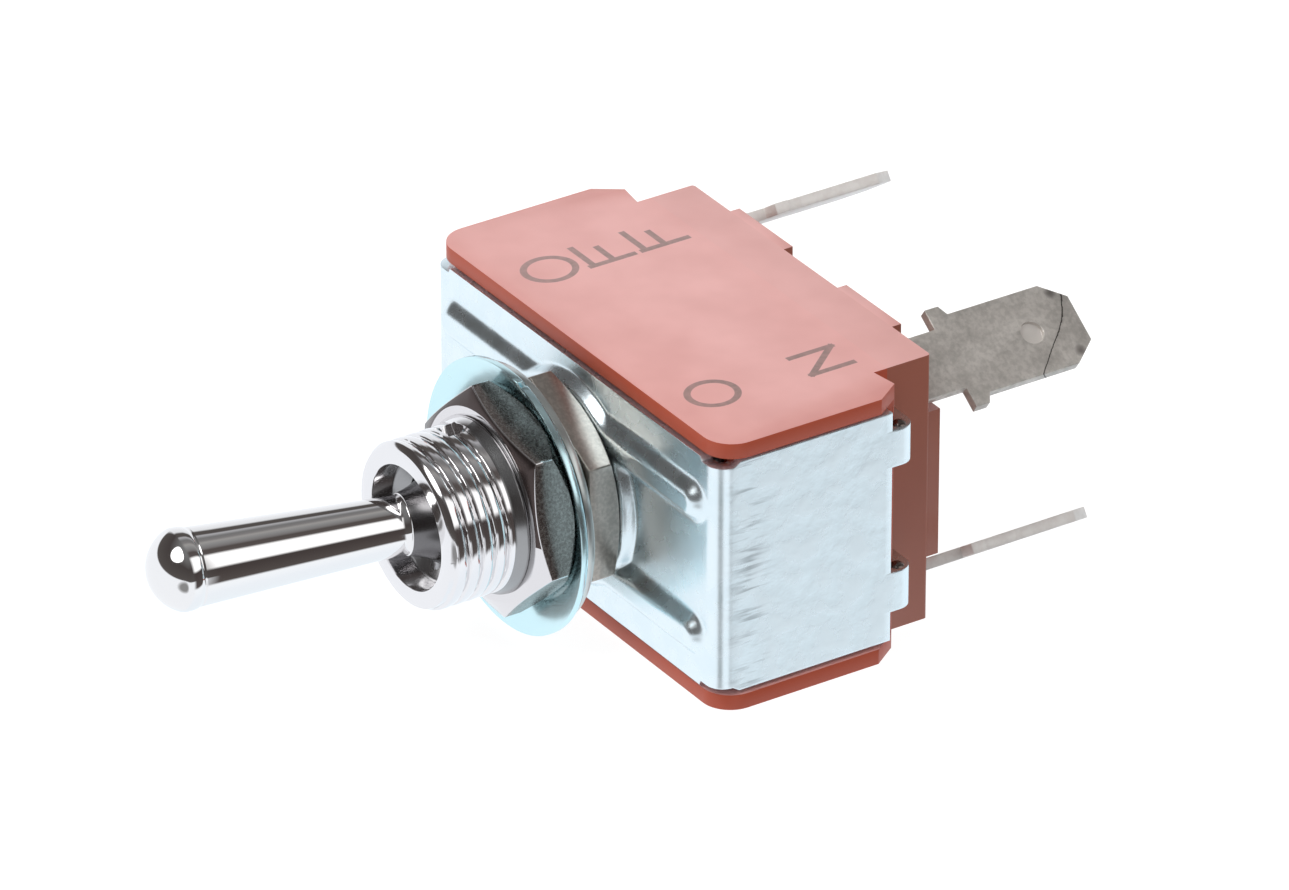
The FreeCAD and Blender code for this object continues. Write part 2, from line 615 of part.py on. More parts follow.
def make_washers():
    """The dished washer with inner teeth and the dished locking ring between the nuts."""
    body = new_body("lock_washer")
    inner = thread_radius + washer_gap
    dished(body, lock_radius, lock_front, lock_thick)
    gap = rectangle(inner - 0.5, -tooth_slot / 2, tooth_root, tooth_slot / 2)
    slot = pocket(body, draw(body, "XZ_Plane", [gap], level=lock_front), lock_thick)
    pattern = body.newObject("PartDesign::PolarPattern", "Pattern")
    pattern.Originals = [slot]
    pattern.Axis = (plane_of(body, "Y_Axis"), [""])
    pattern.Angle = 360
    pattern.Occurrences = int(tooth_count.value)
    pattern.setExpression("Occurrences", tooth_count.text)
    body.Tip = pattern
    finish("lock_washer", body)

    body = new_body("locking_ring")
    dished(body, ring_radius, ring_front, ring_thick)
    key = rectangle(thread_radius - keyway_deep + washer_gap, -keyway_width / 2 + washer_gap,
                    inner + 0.5, keyway_width / 2 - washer_gap)
    pad(body, draw(body, "XZ_Plane", [key], level=ring_front - ring_thick, turn=keyway_angle), ring_thick)
    slit = rectangle(ring_radius - slit_deep, -slit_width / 2, ring_radius + 1, slit_width / 2)
    lift = (ring_radius - dish_start) * dish_slope
    pocket(body, draw(body, "XZ_Plane", [slit], level=ring_front + lift, turn=slit_angle), ring_thick + lift)
    finish("locking_ring", body)


def make_lever():
    """The bat lever with its ball, cross hole and tail."""
    body = new_body("toggle_lever")
    ball_reach = root(ball_radius * ball_radius - shaft_root * shaft_root)
    dome_round = (tip_radius * tip_radius + tip_dome * tip_dome) / (tip_dome * 2)
    tip_end = shaft_stop + tip_band + tip_dome
    tail_reach = root(ball_radius * ball_radius - tail_radius * tail_radius)
    tail_end = carrier_start + tail_depth
    outline = [(0, tail_end), (tail_radius - tail_bevel, tail_end),
               (tail_radius, tail_end - tail_bevel), (tail_radius, tail_reach, (0, 0, -1)),
               (shaft_root, -ball_reach), (shaft_root, -shaft_start), (shaft_end, -shaft_stop),
               (tip_radius, -shaft_stop - 0.25), (tip_radius, -shaft_stop - tip_band,
                                                  (0, dome_round - tip_end, -1)),
               (0, -tip_end)]
    turned(body, draw(body, "XY_Plane", [outline]))
    pocket(body, draw(body, "XY_Plane", (), [(0, 0, pin_radius + pin_gap)]), ball_radius * 3, both=True)
    place(body, 0, -pivot_depth, 0, UP, -rest_lean)
    finish("toggle_lever", body)


def make_carrier():
    """The moulded carrier on the lever's tail, with a bore for each plunger."""
    body = new_body("actuator_carrier")
    half = carrier_width / 2
    edge = carrier_start + carrier_slope
    outline = [(-half + carrier_bevel, carrier_start), (half - carrier_bevel, carrier_start), (half, edge),
               (half, carrier_stop), (-half, carrier_stop), (-half, edge)]
    span = (pole_place + plunger_radius + carrier_skin) * 2
    pad(body, draw(body, "XY_Plane", [outline]), span, both=True)
    socket = (0, 0, tail_radius + pin_gap)
    floor = carrier_start + tail_depth + seat_gap * 2
    pocket(body, draw(body, "XZ_Plane", (), [socket], level=-floor), carrier_start, backwards=True)
    bores = [(0, up * pole_place, plunger_radius + plunger_gap) for up in (-1, 1)]
    pocket(body, draw(body, "XZ_Plane", (), bores, level=-bore_floor), carrier_stop)
    place(body, 0, -pivot_depth, 0, UP, -rest_lean)
    finish("actuator_carrier", body)


def nose_reach():
    """Distance from the lever's pivot to the centre of a plunger's nose, where it rests on its rocker."""
    return rocker_depth + pivot_depth - saddle_low - seat_gap / 2 - nose_radius


def saddle_arc():
    """Radius of a rocker's saddle. It follows the nose, which swings past while the rocker tips."""
    nose = nose_reach()
    reach = nose * cosine(rest_lean) - rocker_depth - pivot_depth
    across = nose * sine(rest_lean) * cosine(rocker_lean) + reach * sine(rocker_lean)
    along = reach * cosine(rocker_lean) - nose * sine(rest_lean) * sine(rocker_lean)
    rise = nose - rocker_depth - pivot_depth - along
    return (across * across + rise * rise) / (rise * 2) + nose_radius + seat_gap / 2


def make_plunger(label, up):
    """A hollow plunger with a rounded nose."""
    body = new_body(label)
    nose = nose_reach()
    outline = [(plunger_bore, plunger_start), (plunger_radius, plunger_start),
               (plunger_radius, plunger_shoulder), (nose_radius, plunger_shoulder + 1),
               (nose_radius, nose, (0, nose, 1)), (0, nose + nose_radius),
               (0, plunger_shoulder - 0.8), (plunger_bore, plunger_shoulder - 0.8)]
    turned(body, draw(body, "XY_Plane", [outline]))
    place(body, 0, -pivot_depth, up * pole_place, UP, -rest_lean)
    finish(label, body)


def make_spring(label, up):
    """The coil spring behind a plunger, of edge-wound wire."""
    body = new_body(label)
    start = bore_floor + wire_radius + 0.05
    stop = plunger_shoulder - 0.8 - wire_radius - 0.05
    wire = [(coil_radius + wire_radius, start), (coil_radius, start + wire_radius),
            (coil_radius - wire_radius, start), (coil_radius, start - wire_radius)]
    sketch = draw(body, "XY_Plane", [wire])
    coil = body.newObject("PartDesign::AdditiveHelix", "Coil")
    coil.Profile = sketch
    coil.ReferenceAxis = (sketch, ["V_Axis"])
    coil.Mode = "pitch-height-angle"
    coil.Pitch = coil_pitch.value
    coil.setExpression("Pitch", coil_pitch.text)
    coil.Height = (stop - start).value
    coil.setExpression("Height", (stop - start).text)
    place(body, 0, -pivot_depth, up * pole_place, UP, -rest_lean)
    finish(label, body)


def make_rocker(label, up):
    """A see-saw contact arm with a half-round pivot, drawn at its own lean."""
    body = new_body("rocker_" + label)
    low = rocker_thick - rocker_top
    arc = saddle_arc()
    middle = -saddle_low - arc
    brim = middle + root(arc * arc - saddle_reach * saddle_reach)
    outer = saddle_reach + 0.6
    outline = [(-contact_arm - contact_radius - 0.3, -rocker_top), (-outer, -rocker_top), (-outer, brim),
               (-saddle_reach, brim, (0, middle, -1)), (saddle_reach, brim), (outer, brim),
               (outer, -rocker_top), (tail_arm, -rocker_top),
               (tail_arm, low), (rocker_round, low), (rocker_round, 0, (0, 0, 1)), (-rocker_round, 0),
               (-rocker_round, low), (-contact_arm - contact_radius - 0.3, low)]
    pad(body, draw(body, "XY_Plane", [outline]), rocker_width, both=True)
    place(body, 0, rocker_depth, up * pole_place, UP, rocker_lean)
    finish("rocker_" + label, body)

    contact = new_body("moving_contact_" + label)
    spot = (-contact_arm, 0, contact_radius)
    pad(contact, draw(contact, "XZ_Plane", (), [spot], level=-low), contact_drop, backwards=True)
    place(contact, 0, rocker_depth, up * pole_place, UP, rocker_lean)
    finish("moving_contact_" + label, contact)


def make_blade(name, side, up):
    """The push-on blade of one terminal, with stop ears, a latch dimple and a narrow root."""
    body = new_body(name + "_blade")
    half = blade_width / 2
    neck = neck_width / 2
    tang = root_width / 2
    wall = base_back + seat_gap / 2
    right = [(tang, foot_front + foot_lap), (tang, wall), (neck, wall), (neck, stop_start),
             (half + stop_rise, stop_start), (half + stop_rise, stop_stop - ear_slope), (half, stop_stop),
             (half, blade_end - tip_cut_long), (half - tip_cut, blade_end)]
    left = [(-1 * across, along) for across, along in reversed(right)]
    pad(body, draw(body, "XY_Plane", [right + left]), blade_thick, both=True)
    dimple = [(0, dimple_place, dimple_radius)]
    level = blade_thick / 2 * up
    pocket(body, draw(body, "XY_Plane", (), dimple, level=level), dimple_deep, backwards=up < 0)
    place(body, side * blade_x, 0, up * blade_z, SIDE, blade_turn * (side * up))
    return body


def make_terminal(name, side, up):
    """One terminal: its blade and, inside the case, a foot that carries a contact or a cradle."""
    blade = make_blade(name, side, up)
    foot = new_body(name + "_foot")
    low = up * (pole_wall / 2 + foot_root)
    high = up * (cavity_high - foot_margin)
    if side < 0:
        plate = [rectangle(-foot_side, low, -contact_arm + contact_radius + foot_rim, high)]
    else:
        narrow = up * (pole_place + rocker_width / 2 + ear_slope)
        reach = rocker_round + cradle_foot
        plate = [[(-reach, low), (foot_side, low), (foot_side, high), (blade_x - foot_step, high),
                  (blade_x - foot_step, narrow), (-reach, narrow)]]
    pad(foot, draw(foot, "XZ_Plane", plate, level=-foot_front), blade_thick, backwards=True)
    if side > 0:
        # Two ears with half-round notches carry the rocker's pivot.
        arm = rocker_round + cradle_rim
        notch = rocker_round + rocker_gap
        ear = [(-arm, foot_front + foot_lap / 2), (arm, foot_front + foot_lap / 2), (arm, rocker_depth), (notch, rocker_depth,
               (0, rocker_depth, 1)), (-notch, rocker_depth), (-arm, rocker_depth)]
        for offset in (-1, 1):
            spot = up * pole_place + offset * (rocker_width / 2 - cradle_inset)
            pad(foot, draw(foot, "XY_Plane", [ear], level=spot), blade_thick, both=True)
    doc.recompute()
    joined = doc.addObject("Part::MultiFuse", "Terminal")
    joined.Shapes = [blade, foot]
    joined.Refine = True
    finish(name, joined)


def make_fixed_contact(label, up):
    """A fixed contact on its terminal's foot, as high as the closed rocker needs."""
    body = new_body("fixed_contact_" + label)
    drop = rocker_thick - rocker_top + contact_drop
    closed = rocker_depth + contact_arm * sine(rocker_lean) + drop * cosine(rocker_lean)
    face = closed + contact_radius * sine(rocker_lean) + contact_gap
    spot = (-contact_arm, up * pole_place, contact_radius)
    pad(body, draw(body, "XZ_Plane", (), [spot], level=-face), foot_front - face, backwards=True)
    finish("fixed_contact_" + label, body)


def make_liner():
    """The insulating liner between the frame's plate and the open case."""
    body = new_body("insulating_liner")
    wide = body_end - 0.4
    high = frame_height / 2 - 0.2
    outer = rectangle(-wide, -high, wide, high)
    hole = rectangle(-liner_slot, -liner_slot_high, liner_slot, liner_slot_high)
    pad(body, draw(body, "XZ_Plane", [outer, hole], level=-liner_front), liner_thick, backwards=True)
    finish("insulating_liner", body)


make_case()
make_frame()
make_bushing()
make_pin()
make_liner()
make_nut("hex_nut_back", back_nut_rear, nut_back_thick, nut_chamfer, nut_back_turn)
make_washers()
make_nut("hex_nut_front", front_nut_rear, nut_front_thick, nut_front_chamfer, nut_front_turn)
make_lever()
make_carrier()
for half_name, direction in (("top", 1), ("bottom", -1)):
    make_plunger("plunger_" + half_name, direction)
    make_spring("spring_" + half_name, direction)
    make_rocker(half_name, direction)
    make_terminal("load_terminal_" + half_name, -1, direction)
    make_terminal("line_terminal_" + half_name, 1, direction)
    make_fixed_contact(half_name, direction)
doc.recompute()

for item in doc.Objects:
    if "Invalid" in item.State or "Error" in item.State:
        raise RuntimeError("%s (%s) is in error" % (item.Name, item.Label))
for name, thing in made:
    shape = thing.Shape
    if shape.isNull() or not shape.isValid() or not shape.Solids:
        raise RuntimeError("%s has no valid solid" % name)
    shape.exportStep("parts/%s.step" % name)
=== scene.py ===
"""Scene of the panel toggle switch: its looks, the light round it and the camera.

Sizes are millimetres in the part's own frame, and become metres where a mesh is made. -Y runs out of
the bushing, +X along the case towards ON and +Z is the printed face of the case.
"""
from __future__ import annotations

import json
import logging
import math
from collections.abc import Callable, Sequence
from dataclasses import dataclass
from enum import Enum
from typing import Any, Union

import bmesh
import bpy
from mathutils import Matrix, Vector

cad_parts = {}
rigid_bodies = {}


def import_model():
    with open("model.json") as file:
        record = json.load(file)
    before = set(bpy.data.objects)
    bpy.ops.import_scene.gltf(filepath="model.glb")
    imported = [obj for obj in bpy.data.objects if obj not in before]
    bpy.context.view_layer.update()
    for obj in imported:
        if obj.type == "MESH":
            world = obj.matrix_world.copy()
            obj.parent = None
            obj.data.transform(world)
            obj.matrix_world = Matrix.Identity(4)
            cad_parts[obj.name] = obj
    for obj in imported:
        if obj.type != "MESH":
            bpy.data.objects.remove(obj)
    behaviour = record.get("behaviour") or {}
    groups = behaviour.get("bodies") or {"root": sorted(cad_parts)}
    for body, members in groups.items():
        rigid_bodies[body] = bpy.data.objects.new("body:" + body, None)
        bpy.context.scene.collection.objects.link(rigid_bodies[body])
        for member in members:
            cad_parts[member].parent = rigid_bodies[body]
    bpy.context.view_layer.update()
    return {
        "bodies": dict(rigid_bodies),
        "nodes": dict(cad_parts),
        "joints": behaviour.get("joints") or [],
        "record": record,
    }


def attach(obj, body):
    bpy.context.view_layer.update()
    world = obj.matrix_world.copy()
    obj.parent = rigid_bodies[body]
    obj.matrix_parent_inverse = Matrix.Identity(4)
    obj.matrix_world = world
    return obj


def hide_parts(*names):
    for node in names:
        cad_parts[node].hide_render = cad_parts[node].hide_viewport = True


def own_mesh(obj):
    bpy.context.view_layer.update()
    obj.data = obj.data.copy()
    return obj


log = logging.getLogger("toggle_switch")

MM = 0.001

Pair = tuple[float, float]
Triple = tuple[float, float, float]
Socket = bpy.types.NodeSocket
Value = Union[float, Triple, Socket]


class Body(Enum):
    """Bodies that the finer shapes ride on."""

    HOUSING = "housing"
    LEVER = "lever"


class Half(Enum):
    """The two poles of the switch."""

    TOP = "top"
    BOTTOM = "bottom"


class Detail(Enum):
    """What a finish carries besides its grain."""

    PLAIN = "plain"
    PRINTED = "printed faces"
    WORN_BLADE = "worn blade"
    SCRATCHED_FOLD = "scratched folds"


@dataclass(frozen=True)
class Finish:
    """A surface finish.

    Attributes:
        name: Material name.
        colour: Base colour, linear RGB.
        metallic: 1 for metal.
        roughness: Mean roughness.
        grain: How far the roughness varies over the surface.
        scale: Fineness of the grain, as noise scale per metre.
        bump: Depth of the grain in metres.
        stain: Second colour, mixed in by the grain.
        specular: Strength of the mirror reflection.
        detail: What it carries besides its grain.
    """

    name: str
    colour: Triple
    metallic: float = 0.0
    roughness: float = 0.4
    grain: float = 0.1
    scale: float = 400.0
    bump: float = 0.0
    stain: tuple[float, ...] = ()
    specular: float = 0.5
    detail: Detail = Detail.PLAIN


@dataclass(frozen=True)
class Look:
    """Material slot of a CAD piece and its finishes, the main one first."""

    slot: str
    finishes: tuple[Finish, ...]


class Nodes:
    """Builds a node tree a little more briefly.

    Attributes:
        MIX_INPUTS: Numbers of a Mix node's sockets for the factor and the two colours.
        MIX_OUTPUT: Number of its socket for the mixed colour.
    """

    MIX_INPUTS = (0, 6, 7)
    MIX_OUTPUT = 2

    def __init__(self, tree: bpy.types.NodeTree) -> None:
        """Keeps the tree that the nodes go into."""
        self.tree = tree

    def add(self, kind: str, **values: Any) -> bpy.types.Node:
        """Adds a node.

        Args:
            kind: Node type without its ShaderNode prefix.
            values: Properties to set.

        Returns:
            The new node.
        """
        node = self.tree.nodes.new("ShaderNode" + kind)
        for key, value in values.items():
            setattr(node, key, value)
        return node

    def join(self, source: Socket, target: Socket) -> None:
        """Links two sockets."""
        self.tree.links.new(source, target)

    def feed(self, value: Value, target: Socket) -> None:
        """Gives a socket a number, a colour or a link.

        Args:
            value: The number, colour or source socket.
            target: The socket that gets it.
        """
        if isinstance(value, (int, float)):
            target.default_value = value
        elif isinstance(value, tuple):
            target.default_value = (*value, 1)
        else:
            self.join(value, target)

    def math(self, operation: str, *values: Value, clamp: bool = False) -> Socket:
        """Adds a math node.

        Args:
            operation: Its operation.
            values: Up to three numbers or sockets.
            clamp: Whether to keep the result between 0 and 1.

        Returns:
            Its output socket.
        """
        node = self.add("Math", operation=operation, use_clamp=clamp)
        for place, value in enumerate(values):
            self.feed(value, node.inputs[place])
        return node.outputs[0]

    def product(self, *values: Value) -> Socket:
        """Multiplies numbers or sockets.

        Args:
            values: Two or more of them.

        Returns:
            The product's socket.
        """
        total = values[0]
        for value in values[1:]:
            total = self.math("MULTIPLY", total, value)
        return total

    def ramp(self, value: Socket, stops: Sequence[tuple[float, Union[float, Triple]]]) -> Socket:
        """Adds a colour ramp.

        Args:
            value: Socket that drives it.
            stops: Pairs of place and grey or colour.

        Returns:
            Its colour socket.
        """
        node = self.add("ValToRGB")
        line = node.color_ramp
        while len(line.elements) < len(stops):
            line.elements.new(0.5)
        for element, (spot, colour) in zip(line.elements, stops):
            element.position = spot
            rgb = (colour,) * 3 if isinstance(colour, (int, float)) else colour
            element.color = (*rgb, 1)
        self.join(value, node.inputs[0])
        return node.outputs["Color"]

    def mix(self, factor: Value, first: Value, second: Value) -> Socket:
        """Mixes two colours.

        Args:
            factor: Number or socket.
            first: Colour or socket.
            second: Colour or socket.

        Returns:
            The mixed colour's socket.
        """
        node = self.add("Mix", data_type="RGBA", blend_type="MIX")
        for place, value in zip(self.MIX_INPUTS, (factor, first, second)):
            self.feed(value, node.inputs[place])
        return node.outputs[self.MIX_OUTPUT]

    def noise(self, place: Socket, scale: Value, detail: float = 2.0, rough: float = 0.5) -> Socket:
        """Adds a noise texture.

        Args:
            place: Coordinates.
            scale: Its scale.
            detail: How many finer layers it has.
            rough: Share of the finer layers.

        Returns:
            Its value's socket.
        """
        node = self.add("TexNoise")
        node.inputs["Detail"].default_value = detail
        node.inputs["Roughness"].default_value = rough
        self.feed(scale, node.inputs["Scale"])
        self.join(place, node.inputs["Vector"])
        return node.outputs["Fac"]

    def split(self, place: Socket) -> list[Socket]:
        """Splits a place in metres.

        Args:
            place: The place.

        Returns:
            Its x, y and z in millimetres.
        """
        parts = self.add("SeparateXYZ")
        self.join(place, parts.inputs[0])
        return [self.math("MULTIPLY", parts.outputs[axis], 1 / MM) for axis in "XYZ"]


class Group:
    """A shader node group with named inputs and outputs."""

    def __init__(self, name: str, inputs: dict[str, str], outputs: dict[str, str]) -> None:
        """Makes the group.

        Args:
            name: Its name.
            inputs: Kind of each input by name: Vector, Float or Color.
            outputs: Kind of each output by name.
        """
        self.tree = bpy.data.node_groups.new(name, "ShaderNodeTree")
        for sockets, side in ((inputs, "INPUT"), (outputs, "OUTPUT")):
            for label, kind in sockets.items():
                self.tree.interface.new_socket(label, in_out=side, socket_type="NodeSocket" + kind)
        self.nodes = Nodes(self.tree)
        self.start = self.tree.nodes.new("NodeGroupInput").outputs
        self.end = self.tree.nodes.new("NodeGroupOutput").inputs

    def place(self, nodes: Nodes, **values: Value) -> bpy.types.NodeOutputs:
        """Places the group in a material.

        Args:
            nodes: The material's Nodes.
            values: Number, colour or socket for each input.

        Returns:
            The outputs.
        """
        node = nodes.add("Group")
        node.node_tree = self.tree
        for label, value in values.items():
            nodes.feed(value, node.inputs[label])
        return node.outputs


def grain_group(layers: float = 5.0, stain: Sequence[Pair] = ((0.42, 0.0), (0.62, 1.0))) -> Group:
    """Builds the grain that every finish has.

    Args:
        layers: How many finer layers its noise has.
        stain: Pairs of the noise's value and the stain's share.

    Returns:
        The group: a noise, a roughness that follows it, and a colour that it stains.
    """
    group = Group(
        "grain",
        {"Place": "Vector", "Scale": "Float", "Spread": "Float", "Smoothest": "Float",
         "Colour": "Color", "Stain": "Color"},
        {"Grain": "Float", "Roughness": "Float", "Colour": "Color"})
    nodes, start, end = group.nodes, group.start, group.end
    value = nodes.noise(start["Place"], start["Scale"], layers)
    mask = nodes.ramp(value, stain)
    nodes.join(value, end["Grain"])
    nodes.join(nodes.math("MULTIPLY_ADD", value, start["Spread"], start["Smoothest"]), end["Roughness"])
    nodes.join(nodes.mix(mask, start["Colour"], start["Stain"]), end["Colour"])
    return group


@dataclass(frozen=True)
class Lettering:
    """A mask of the words ON and OFF on the case's top.

    Attributes:
        stroke: Half the width of a stroke.
        soft: Steepness of a stroke's edge, per millimetre.
        rings: Middle and half sizes of each letter O.
        bars: Middle and half lengths of each straight stroke.
        slant: Ends of the slanting stroke of the letter N.
    """

    stroke: float = 0.24
    soft: float = 18.0
    rings: tuple[tuple[float, ...], ...] = ((-9.65, 4.3, 1.65, 1.85), (11.1, 4.0, 1.65, 1.75))
    bars: tuple[tuple[float, ...], ...] = (
        (-8.4, 8.65, 0.0, 1.7), (-9.85, 7.15, 1.45, 0.0), (-9.45, 8.75, 1.05, 0.0),
        (-8.4, 12.95, 0.0, 1.8), (-9.85, 11.35, 1.45, 0.0), (-9.45, 12.95, 1.05, 0.0),
        (9.9, 12.7, 0.0, 1.65), (12.6, 12.7, 0.0, 1.65))
    slant: tuple[Pair, Pair] = ((12.6, 11.05), (9.9, 14.35))

    def group(self) -> Group:
        """Makes the node group.

        Returns:
            The group, with a place as input and a mask as output.
        """
        group = Group("lettering", {"Place": "Vector"}, {"Mask": "Float"})
        nodes = group.nodes
        place = nodes.split(group.start["Place"])[:2]
        marks = [self._bar(nodes, place, bar) for bar in self.bars]
        marks += [self._ring(nodes, place, ring) for ring in self.rings]
        marks.append(self._slant(nodes, place))
        mask = marks[0]
        for mark in marks[1:]:
            mask = nodes.math("MAXIMUM", mask, mark)
        nodes.join(mask, group.end["Mask"])
        return group

    def _edge(self, nodes: Nodes, distance: Socket) -> Socket:
        """Turns a distance from a stroke's middle line into a soft mask."""
        inside = nodes.math("SUBTRACT", self.stroke, distance)
        return nodes.math("MULTIPLY_ADD", inside, self.soft, 0.5, clamp=True)

    def _bar(self, nodes: Nodes, place: Sequence[Socket], bar: Sequence[float]) -> Socket:
        """Masks a straight stroke along X or Y.

        Args:
            nodes: The group's Nodes.
            place: Place along X and Y.
            bar: Its middle and half lengths.

        Returns:
            The mask's socket.
        """
        far = [nodes.math("SUBTRACT", nodes.math("ABSOLUTE", nodes.math("SUBTRACT", value, middle)), half)
               for value, middle, half in zip(place, bar[:2], bar[2:])]
        return self._edge(nodes, nodes.math("MAXIMUM", *far))

    def _ring(self, nodes: Nodes, place: Sequence[Socket], ring: Sequence[float]) -> Socket:
        """Masks the letter O.

        Args:
            nodes: The group's Nodes.
            place: Place along X and Y.
            ring: Its middle and half sizes.

        Returns:
            The mask's socket.
        """
        parts = [nodes.math("DIVIDE", nodes.math("SUBTRACT", value, middle), half)
                 for value, middle, half in zip(place, ring[:2], ring[2:])]
        square = nodes.math("ADD", *(nodes.product(part, part) for part in parts))
        off = nodes.math("ABSOLUTE", nodes.math("SUBTRACT", nodes.math("SQRT", square), 1.0))
        return self._edge(nodes, nodes.product(off, (ring[2] + ring[3]) / 2))

    def _slant(self, nodes: Nodes, place: Sequence[Socket]) -> Socket:
        """Masks the slanting stroke of the letter N.

        Args:
            nodes: The group's Nodes.
            place: Place along X and Y.

        Returns:
            The mask's socket.
        """
        (x0, y0), (x1, y1) = self.slant
        long = math.hypot(x1 - x0, y1 - y0)
        along_x, along_y = (x1 - x0) / long, (y1 - y0) / long
        dx = nodes.math("SUBTRACT", place[0], (x0 + x1) / 2)
        dy = nodes.math("SUBTRACT", place[1], (y0 + y1) / 2)
        side = nodes.math("SUBTRACT", nodes.product(dx, along_y), nodes.product(dy, along_x))
        run = nodes.math("ADD", nodes.product(dx, along_x), nodes.product(dy, along_y))
        far = nodes.math("SUBTRACT", nodes.math("ABSOLUTE", run), long / 2)
        return self._edge(nodes, nodes.math("MAXIMUM", nodes.math("ABSOLUTE", side), far))


@dataclass(frozen=True)
class PrintedFace:
    """The case's flat faces, paled as painted sheen, its rear band, darkened as painted shade, and the print on its
    top.

    Attributes:
        band_start: Where the rear band starts along Y.
        band_shade_colour: Its colour, darker than the moulding: painted shade.
        band_shade_share: How much of that painted shade it takes.
        sheen_flatness: How sharply a face has to look up or down to get the painted sheen.
        pale: Colours of the painted sheen on the flat faces, over the noise that clouds them.
        cloud_scale: Fineness of that noise, as noise scale per metre.
        ink: Colour of the print.
        ink_least: Least strength of the print.
        ink_more: How much stronger its speckles are.
        ink_scale: Fineness of its speckles.
    """

    band_start: float = 15.8
    band_shade_colour: Triple = (0.335, 0.122, 0.082)
    band_shade_share: float = 0.85
    sheen_flatness: float = 12.0
    pale: tuple[tuple[float, Triple], ...] = ((0.3, (0.72, 0.380, 0.358)), (0.7, (0.79, 0.435, 0.412)))
    cloud_scale: float = 260.0
    ink: Triple = (0.25, 0.175, 0.16)
    ink_least: float = 0.66
    ink_more: float = 0.5
    ink_scale: float = 2600.0

    def colour(self, nodes: Nodes, place: Socket, base: Value) -> Socket:
        """Gives the colour.

        Args:
            nodes: The material's Nodes.
            place: Object coordinates.
            base: The moulding's own colour.

        Returns:
            The colour's socket.
        """
        normal = nodes.add("SeparateXYZ")
        nodes.join(nodes.add("NewGeometry").outputs["Normal"], normal.inputs[0])
        # Faces that look up or down are paled: painted sheen.
        flat = nodes.math("POWER", nodes.math("ABSOLUTE", normal.outputs["Z"]), self.sheen_flatness, clamp=True)
        pale = nodes.ramp(nodes.noise(place, self.cloud_scale), self.pale)
        # Behind band_start the moulding is darkened: painted shade.
        behind = nodes.math("GREATER_THAN", nodes.split(place)[1], self.band_start)
        rear = nodes.product(behind, self.band_shade_share)
        colour = nodes.mix(flat, nodes.mix(rear, base, self.band_shade_colour), pale)
        top = nodes.product(flat, nodes.math("GREATER_THAN", normal.outputs["Z"], 0.0))
        mask = Lettering().group().place(nodes, Place=place)["Mask"]
        worn = nodes.math("MULTIPLY_ADD", nodes.noise(place, self.ink_scale), self.ink_more, self.ink_least)
        return nodes.mix(nodes.product(mask, top, worn), colour, self.ink)


